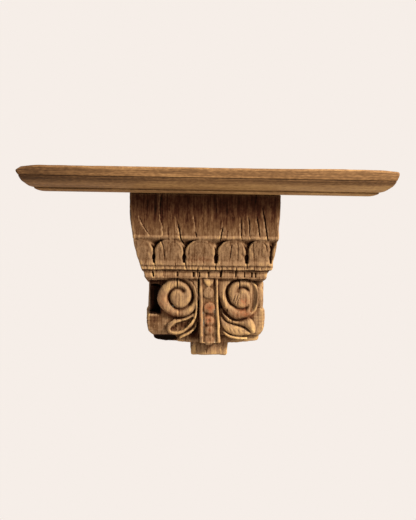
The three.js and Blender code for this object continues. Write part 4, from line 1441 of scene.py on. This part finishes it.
@dataclass
class ShelfBoard:
    """The shelf board: a flat board with one moulding round its front and both ends."""

    width: float = 610.0
    depth: float = 226.0
    thickness: float = 42.0
    nose: float = 3.0
    fascia: float = 16.0
    quirk: float = 1.3
    quirk_depth: float = 1.2
    ovolo_run: float = 31.0
    ovolo_roundness: float = 0.55
    fillet: float = 5.2
    fillet_run: float = 12.0
    end_steps: int = 70
    front_steps: int = 210
    left_fall: float = 7.6  # how far the knocked left end of the top has dropped
    right_fall: float = 2.0
    end_lean: float = 3.4  # how far the ends lean in below their nose
    end_swell: float = 6.5  # how far they swell again over the lower quirk

    def profile(self) -> list[Point]:
        """The section, as inset and distance below its top, from the top's back to the underside's."""
        rows: list[Point] = [(inset, 0.0) for inset in (self.depth, 160.0, 100.0, 50.0, 24.0, 12.0, 6.5)]
        for i in range(6):
            turn = i / 5 * math.pi / 2
            rows.append((self.nose * (1 - math.sin(turn)), self.nose * (1 - math.cos(turn))))
        rows += [(0.0, 6.0), (0.0, 9.5), (0.0, 13.0), (0.1, self.fascia - 0.8), (0.6, self.fascia)]
        top, fillet_top = self.fascia + self.quirk, self.thickness - self.fillet
        bottom = fillet_top - self.quirk
        sunk, bulge = self.quirk_depth, self.ovolo_roundness
        rows += [(1.3 * sunk, self.fascia + 0.2), (1.5 * sunk, self.fascia + 0.65), (1.3 * sunk, top - 0.1)]
        for i in range(15):
            share = i / 14
            turn = share * math.pi / 2
            along = bulge * (1 - math.cos(turn)) + (1 - bulge) * share
            down = bulge * math.sin(turn) + (1 - bulge) * share
            rows.append((sunk + along * self.ovolo_run, top + down * (bottom - top)))
        foot = sunk + self.ovolo_run
        rows += [(foot + 0.4 * sunk, bottom + 0.2), (foot + 0.6 * sunk, bottom + 0.65),
                 (foot + 0.4 * sunk, fillet_top - 0.1), (foot + 0.2, fillet_top)]
        for i in range(7):
            turn = i / 6 * math.pi / 2
            inset = foot + self.fillet_run * (1 - math.cos(turn))
            rows.append((inset, fillet_top + self.fillet * math.sin(turn)))
        return rows + [(inset, self.thickness) for inset in (60.0, 100.0, 160.0, self.depth)]

    def tree_sizes(self, rows: int) -> dict[str, float]:
        """The inputs of the moulding's tree, for a profile of so many rows."""
        return {
            "Half Width": self.width / 2,
            "Depth": self.depth,
            "Rows": rows,
            "End Steps": self.end_steps,
            "Front Steps": self.front_steps,
        }

    def tree(self, material: bpy.types.Material) -> Any:
        """A Geometry Nodes tree that runs a profile round the front and both ends, mitred at the corners.

        Args:
            material: The board's wood.

        Returns:
            The tree.
        """
        tree, given, output = new_tree("mitred_moulding", self.tree_sizes(2))

        def calc(operation: str, a: Any, b: Any, clamp: bool = False) -> Any:
            """One step of arithmetic in this tree."""
            return maths(tree, operation, a, b, clamp)

        ends, front = given.outputs["End Steps"], given.outputs["Front Steps"]
        columns = calc("ADD", calc("ADD", calc("MULTIPLY", ends, 2.0), front), 1.0)
        counts = {"Vertices X": given.outputs["Rows"], "Vertices Y": columns}
        sheet = add_node(tree, "GeometryNodeMeshGrid", counts)
        index = add_node(tree, "GeometryNodeInputIndex").outputs[0]
        row = calc("FLOOR", calc("DIVIDE", calc("ADD", index, 0.25), columns), 0.0)
        column = calc("SUBTRACT", index, calc("MULTIPLY", row, columns))
        place = add_node(tree, "GeometryNodeInputPosition")
        looked_up = {"Geometry": given.outputs["Geometry"], "Value": place.outputs[0], "Index": row}
        kind = {"data_type": "FLOAT_VECTOR", "domain": "POINT"}
        section = add_node(tree, "GeometryNodeSampleIndex", looked_up, **kind)
        parts = add_node(tree, "ShaderNodeSeparateXYZ", {0: section.outputs[0]})
        inset, height = parts.outputs["X"], parts.outputs["Z"]
        past_left = calc("SUBTRACT", column, ends)
        on_left = calc("DIVIDE", column, ends, True)
        on_front = calc("DIVIDE", past_left, front, True)
        on_right = calc("DIVIDE", calc("SUBTRACT", past_left, front), ends, True)
        from_middle = calc("SUBTRACT", calc("MULTIPLY", on_front, 2.0), 1.0)
        across = calc("MULTIPLY", calc("SUBTRACT", given.outputs["Half Width"], inset), from_middle)
        from_back = calc("SUBTRACT", on_right, on_left)
        out = calc("MULTIPLY", calc("SUBTRACT", given.outputs["Depth"], inset), from_back)
        where = add_node(tree, "ShaderNodeCombineXYZ", {"X": across, "Y": out, "Z": height})
        moving = {"Geometry": sheet.outputs[0], "Position": where.outputs[0]}
        moulded = add_node(tree, "GeometryNodeSetPosition", moving)
        finish_tree(tree, moulded.outputs[0], output, material)
        return tree

    def build(self, material: bpy.types.Material) -> bpy.types.Object:
        """Runs the moulding, closes the back, wears the board and puts it in the scene.

        Args:
            material: The board's wood.

        Returns:
            The finished piece.
        """
        rows = self.profile()
        mesh = bpy.data.meshes.new("moulding_profile")
        top = UNDERSIDE + self.thickness
        mesh.from_pydata([(inset, 0.0, top - down) for inset, down in rows], [], [])
        piece = link_object("shelf_board_timber", mesh)
        modifier = piece.modifiers.new("moulding", "NODES")
        modifier.node_group = self.tree(material)
        for label, value in self.tree_sizes(len(rows)).items():
            set_input(modifier, label, value)
        mesh = plain_mesh(piece)
        self.close_back(mesh)
        self.wear(mesh)
        mesh.materials.clear()
        mesh.materials.append(material)
        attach(piece, BODY)
        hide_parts("shelf_board")
        return piece

    def close_back(self, mesh: bpy.types.Mesh) -> None:
        """Joins the doubled corners and closes the sawn back edge."""
        work = bmesh.new()
        work.from_mesh(mesh)
        bmesh.ops.remove_doubles(work, verts=work.verts, dist=1e-3)
        open_edges = [e for e in work.edges if e.is_boundary]
        bmesh.ops.holes_fill(work, edges=open_edges, sides=0)
        bmesh.ops.recalc_face_normals(work, faces=work.faces)
        if work.calc_volume(signed=True) < 0:
            bmesh.ops.reverse_faces(work, faces=work.faces)
        for face in work.faces:
            face.smooth = len(face.verts) <= 4
        work.to_mesh(mesh)
        work.free()

    def wear(self, mesh: bpy.types.Mesh) -> None:
        """Drops the knocked ends of the top, dents the edge and marks what is rubbed and where light and
        shade are painted, in metres at the end.

        Args:
            mesh: The board in millimetres.
        """
        x, y, z = read_corners(mesh).T.copy()
        down = UNDERSIDE + self.thickness - z
        left, right = x + self.width / 2, self.width / 2 - x
        hold = np.clip(1 - down / 15.0, 0, 1)
        fall = self.left_fall * np.clip(1 - left / 42, 0, 1) ** 2.6
        fall = fall + self.right_fall * np.clip(1 - right / 32, 0, 1) ** 1.6
        front = np.clip(1 - (self.depth + y) / 60, 0, 1)
        fall *= 0.35 + 0.65 * front
        rise = 1.2 * np.exp(-(((x - 215) / 70) ** 2))
        z = z - (fall - rise) * hold
        # Both ends lean in below their nose and swell again over the lower quirk, which knocks have closed.
        inset = np.minimum(left, right)
        lean_in = self.end_lean * np.clip((down - 7) / 9, 0, 1) * np.clip(1 - inset / 9, 0, 1) * (down < 28)
        to_end = np.clip(1 - (inset - (self.depth + y)) / 12, 0, 1) * (down > 22)
        swell = self.end_swell * np.exp(-(((down - 35.5) / 4.5) ** 2)) * to_end
        x = x + np.sign(x) * (swell - lean_in)
        edge_wave = 0.2 * np.sin(x / 37.0 + 1.0) + 0.15 * np.sin(x / 11.3) + 0.15 * np.sin(x / 5.1 + y / 9)
        near_edge = np.clip(1 - np.minimum(np.minimum(left, right), self.depth + y) / 30, 0, 1)
        z -= np.clip(edge_wave, 0, 1) * near_edge * np.exp(-((down - 1) / 4.0) ** 2)
        y += np.clip(edge_wave, 0, 1) * 0.6 * np.exp(-(down / 9.0) ** 2) * (y < -self.depth + 8)
        co = np.stack([x, y, z], 1) * MM
        mesh.vertices.foreach_set("co", co.astype(np.float32).ravel())
        # The top edge is made paler, partly as rubbed wear and partly as a painted highlight.
        rubbed = np.exp(-((down - 1.2) / 2.2) ** 2) * (down < 12)
        lip = np.exp(-((down - self.fascia + 1.0) / 1.6) ** 2)
        below = down - self.fascia
        # Painted shade in the quirks and in a band just under the fascia.
        quirk = 0.6 * np.exp(-((below - 0.65) / 0.7) ** 2) + 0.25 * np.exp(-((below - 4) / 4) ** 2)
        low_quirk = 0.5 * np.exp(-((down - self.thickness + self.fillet + 0.65) / 0.8) ** 2)
        # Painted shade darkens the left end, and painted light makes the ovolo paler than the fascia, more so
        # towards the right.
        darkened = np.clip((-x - 90) / 160, 0, 1)
        paler = np.clip((down - self.fascia - 3.5) / 8, 0, 1) * (down < self.thickness + 0.5)
        tint = (0.19 + 0.09 * np.clip(x / 250, 0, 1)) * paler - 0.15 * darkened - 0.03
        masks = {"rubbed": rubbed, "lip": lip, "quirk": np.maximum(quirk, low_quirk), "tint": tint}
        # The sawn back has one large face, so nothing is measured on it.
        moulded = y < -0.01
        store(mesh, **{name: values * moulded for name, values in masks.items()})
        mesh.update()


# Finishes


class Finish:
    """A material in the making, with the steps that both woods share."""

    def __init__(self, name: str) -> None:
        """Starts a material with an empty tree.

        Args:
            name: The material's name.
        """
        self.material = bpy.data.materials.new(name)
        self.material.use_nodes = True
        self.tree = self.material.node_tree
        self.tree.nodes.clear()
        self.place = add_node(self.tree, "ShaderNodeTexCoord").outputs["Object"]

    def noise(self, size: tuple[float, float, float], detail: float, rough: float = 0.5) -> Any:
        """Noise whose patches are so many millimetres long in X, Y and Z."""
        scale = tuple(1 / (side * MM) for side in size)
        spread = add_node(self.tree, "ShaderNodeMapping", {"Vector": self.place, "Scale": scale})
        settings = {"Vector": spread.outputs[0], "Scale": 1.0, "Detail": detail, "Roughness": rough}
        return add_node(self.tree, "ShaderNodeTexNoise", settings).outputs[0]

    def mask(self, name: str) -> Any:
        """One of the numbers measured on the mesh."""
        return add_node(self.tree, "ShaderNodeAttribute", attribute_name=name).outputs["Fac"]

    def maths(self, operation: str, a: Any, b: Any, clamp: bool = False) -> Any:
        """One step of arithmetic."""
        return maths(self.tree, operation, a, b, clamp)

    def total(self, terms: Sequence[tuple[Any, float]], clamp: bool = False) -> Any:
        """Adds values up in order, each times its weight, and keeps the sum from 0 to 1 where asked."""
        parts = [self.maths("MULTIPLY", value, weight) for value, weight in terms]
        whole = parts[0]
        for part in parts[1:]:
            whole = self.maths("ADD", whole, part, clamp and part is parts[-1])
        return whole

    def ramp(self, tone: Any, stops: Sequence[tuple[float, str]]) -> Any:
        """Turns a tone into the colours at a ramp's stops."""
        ramp = add_node(self.tree, "ShaderNodeValToRGB", {"Fac": tone})
        band = ramp.color_ramp
        while len(band.elements) < len(stops):
            band.elements.new(0.5)
        for element, (position, colour) in zip(band.elements, stops):
            element.position, element.color = position, srgb(colour)
        return ramp.outputs["Color"]

    def cover(self, factor: Any, under: Any, colour: str) -> Any:
        """Lays one colour over another."""
        layers = {0: factor, 6: under, 7: srgb(colour)}
        return add_node(self.tree, "ShaderNodeMix", layers, data_type="RGBA").outputs[2]

    def finished(self, colour: Any, rough: Any, specular: float, bump: tuple[float, float, Any]) -> Any:
        """Ends the material.

        Args:
            colour: Its colour.
            rough: Its roughness.
            specular: How much it shines.
            bump: The bump's strength, its distance in millimetres and its height.

        Returns:
            The material.
        """
        strength, distance, height = bump
        dents = {"Strength": strength, "Distance": distance * MM, "Height": height}
        normal = add_node(self.tree, "ShaderNodeBump", dents).outputs[0]
        surface = {
            "Base Color": colour,
            "Roughness": rough,
            "Normal": normal,
            "IOR": 1.5,
            "Specular IOR Level": specular,
        }
        shader = add_node(self.tree, "ShaderNodeBsdfPrincipled", surface)
        add_node(self.tree, "ShaderNodeOutputMaterial", {"Surface": shader.outputs[0]})
        return self.material


@dataclass(frozen=True)
class OldTeak:
    """Old teak, carved by hand, weathered and handled.

    The eye sees dark brown wood with the grain running upright, near black in the cuts, where shade is
    painted, and golden on its edges, partly rubbed by hands and weather and partly a painted highlight, with
    a little red paint left in places. It has hardly any shine.
    """

    deepest: str = "0A0300"
    dark: str = "271006"
    middle: str = "4A331F"
    light: str = "6C533B"
    golden: str = "8E7049"
    palest: str = "B09260"
    paint: str = "824A2E"
    speck: str = "9A9C8A"
    grain_width: float = 2.4
    grain_length: float = 70.0
    pore_width: float = 0.7
    patch: float = 26.0
    roughness: float = 0.74

    def build(self) -> bpy.types.Material:
        """Builds the material.

        Returns:
            The material.
        """
        wood = Finish("old_teak")

        def noise(width: float, length: float, detail: float, rough: float = 0.6) -> Any:
            """Noise whose patches are so many millimetres wide and long, upright."""
            return wood.noise((width, width, length), detail, rough)

        grain = noise(self.grain_width, self.grain_length, 3.0)
        pores = noise(self.pore_width, 22.0, 2.0)
        patch = noise(self.patch, self.patch * 2.2, 3.0)
        broken = noise(5.0, 7.0, 4.0)
        mottle = noise(6.0, 9.0, 6.0, 0.76)
        # How light the wood is here, from 0, the bottom of a cut, to 1, a rubbed edge. Besides the wood's own
        # colour and grain, it holds painted light on edges and raised parts, and painted shade in grooves,
        # hollows, cracks, dark corners and under the board.
        rub = wood.maths("ADD", wood.maths("MULTIPLY", broken, 1.1), 0.08)
        tone = wood.total(
            (
                (grain, 0.42),
                (patch, 0.24),
                (pores, 0.16),
                (wood.maths("MULTIPLY", wood.mask("worn"), rub), 0.44),
                (wood.mask("proud"), 0.10),
                (wood.mask("grooved"), -0.26),
                (wood.mask("hollow"), -0.22),
                (wood.mask("soot"), -0.34),
                (wood.mask("dirt"), -0.42),
                (wood.maths("SUBTRACT", mottle, 0.5), 0.42),
                (wood.maths("ADD", wood.mask("patina"), 0.12), 1.0),
                (wood.mask("pale"), 0.22),
                (wood.mask("crack"), -0.36),
            ),
            clamp=True,
        )
        stops = ((0.0, self.deepest), (0.2, self.dark), (0.42, self.middle), (0.6, self.light),
                 (0.8, self.golden), (1.0, self.palest))
        colour = wood.ramp(tone, stops)
        flaked = wood.maths("MULTIPLY", wood.maths("SUBTRACT", broken, 0.36), 3.4, True)
        for name, hue, cover in (("paint", self.paint, 0.8), ("speck", self.speck, 0.55)):
            left = wood.maths("MULTIPLY", wood.maths("MULTIPLY", wood.mask(name), flaked), cover)
            colour = wood.cover(left, colour, hue)
        rough = wood.maths("ADD", wood.maths("MULTIPLY", patch, 0.16), self.roughness - 0.08)
        height = wood.total(((grain, 0.5), (pores, 0.3), (mottle, 0.8)))
        return wood.finished(colour, rough, 0.03, (0.6, 1.2, height))


@dataclass(frozen=True)
class WaxedBoard:
    """Newer hardwood, moulded by machine and waxed.

    The eye sees a smooth mid brown with fine dark streaks along the board, a soft shine, and a pale top edge,
    partly rubbed and partly a painted highlight. Painted shade lies in the quirks and over the left end, and
    painted light on the ovolo.
    """

    dark: str = "2E1C0C"
    middle: str = "523920"
    light: str = "6D4F30"
    rubbed: str = "96764A"
    grain_width: float = 1.5
    grain_length: float = 95.0
    roughness: float = 0.6

    def build(self) -> bpy.types.Material:
        """Builds the material.

        Returns:
            The material.
        """
        wood = Finish("waxed_board")

        def noise(width: float, length: float, detail: float) -> Any:
            """Noise whose streaks are so many millimetres wide and long, along the board."""
            return wood.noise((length, width, width), detail)

        grain = noise(self.grain_width, self.grain_length, 3.0)
        fine = noise(0.6, 30.0, 2.0)
        patch = noise(18.0, 120.0, 2.0)
        specks = noise(1.6, 2.6, 2.0)
        # Flecks are drawn coarser than the wood's own pores, so that they show.
        flecks = noise(2.2, 7.0, 4.0)
        rub = wood.maths("MULTIPLY", specks, 0.34)
        tone = wood.total(
            (
                (grain, 0.5),
                (patch, 0.3),
                (wood.maths("SUBTRACT", flecks, 0.5), 0.5),
                (fine, 0.2),
                # The top edge: rubbed wear and a painted highlight.
                (wood.maths("MULTIPLY", wood.mask("rubbed"), rub), 1.0),
                (wood.mask("lip"), 0.08),
                # Painted light on the ovolo and painted shade over the left end.
                (wood.mask("tint"), 1.0),
                # Painted shade in the quirks.
                (wood.mask("quirk"), -0.4),
            ),
            clamp=True,
        )
        stops = ((0.18, self.dark), (0.44, self.middle), (0.62, self.light), (0.9, self.rubbed))
        return wood.finished(wood.ramp(tone, stops), self.roughness, 0.08, (0.3, 0.4, grain))


@dataclass(frozen=True)
class MattPaper:
    """Pale matt studio paper for the floor."""

    colour: str = "F3ECE6"

    def build(self) -> bpy.types.Material:
        """Builds the material."""
        material = bpy.data.materials.new("matt_paper")
        material.use_nodes = True
        shader = material.node_tree.nodes["Principled BSDF"]
        shader.inputs["Base Color"].default_value = srgb(self.colour)
        shader.inputs["Roughness"].default_value = 0.9
        return material


# Studio


def facing(place: Sequence[float], aim: Sequence[float]) -> Matrix:
    """The turn that makes a camera or a lamp at a place face an aim."""
    return (Vector(aim) - Vector(place)).to_track_quat("-Z", "Y").to_matrix().to_4x4()


@dataclass
class Studio:
    """The camera, the lights and the floor."""

    camera_place: tuple[float, float, float] = (-0.100, -2.200, 0.1406)
    aim: tuple[float, float, float] = (0.005, -0.140, 0.0098)
    lens: float = 86.1
    roll_degrees: float = 0.97
    ground: str = "F6EEE8"
    world_strength: float = 1.0
    floor_height: float = -1.75
    floor_radius: float = 2.2

    def build(self) -> None:
        """Sets up the whole studio."""
        self.set_colours()
        self.place_camera()
        self.place_lights()
        self.lay_floor()

    def set_colours(self) -> None:
        """Sets plain colour handling and a pale surround."""
        scene = bpy.context.scene
        scene.view_settings.view_transform = "Standard"
        world = bpy.data.worlds.new("pale_surround")
        world.use_nodes = True
        back = world.node_tree.nodes["Background"]
        back.inputs["Color"].default_value = srgb(self.ground)
        back.inputs["Strength"].default_value = self.world_strength
        scene.world = world

    def place_camera(self) -> None:
        """Puts the camera where the photograph was taken from."""
        lens = bpy.data.cameras.new("camera")
        lens.lens = self.lens
        camera = bpy.data.objects.new("camera", lens)
        bpy.context.scene.collection.objects.link(camera)
        roll = Matrix.Rotation(math.radians(self.roll_degrees), 4, "Z")
        turn = facing(self.camera_place, self.aim)
        camera.matrix_world = Matrix.Translation(self.camera_place) @ turn @ roll
        bpy.context.scene.camera = camera

    def place_lights(self) -> None:
        """Hangs a soft key light to the upper right and a weak, wide one near the camera."""
        aim = (0.0, -0.12, 0.0)
        for name, place, size, power in (
            ("key", (1.62, -1.28, 1.18), 0.42, 185.0),
            ("fill", (0.5, -2.3, 0.7), 1.2, 16.0),
        ):
            lamp = bpy.data.lights.new(name, "AREA")
            lamp.shape, lamp.size, lamp.energy = "DISK", size, power
            lamp.color = (1.0, 0.95, 0.88)
            light = bpy.data.objects.new(name, lamp)
            bpy.context.scene.collection.objects.link(light)
            light.matrix_world = Matrix.Translation(place) @ facing(place, aim)

    def lay_floor(self) -> None:
        """Lays a round pale floor well below the shelf."""
        mesh = bpy.data.meshes.new("floor")
        work = bmesh.new()
        bmesh.ops.create_circle(work, cap_ends=True, segments=96, radius=self.floor_radius)
        for vertex in work.verts:
            vertex.co.z = self.floor_height
        work.to_mesh(mesh)
        work.free()
        floor = link_object("floor", mesh)
        mesh.materials.append(MattPaper().build())


def main() -> None:
    """Loads the frame, builds the pieces in order and sets up the studio."""
    logging.basicConfig(level=logging.INFO, format="%(message)s")
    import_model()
    Studio().build()
    steel = bpy.data.materials.new("tool_steel")
    board = ShelfBoard().build(WaxedBoard().build())
    log.info("%s: %d faces", board.name, len(board.data.polygons))
    step = CARVING_STEP
    corbel = CarvedCorbel(ToolTrees(steel), step).build(OldTeak().build())
    log.info("%s: %d faces", corbel.name, len(corbel.data.polygons))


if __name__ == "__main__":
    main()
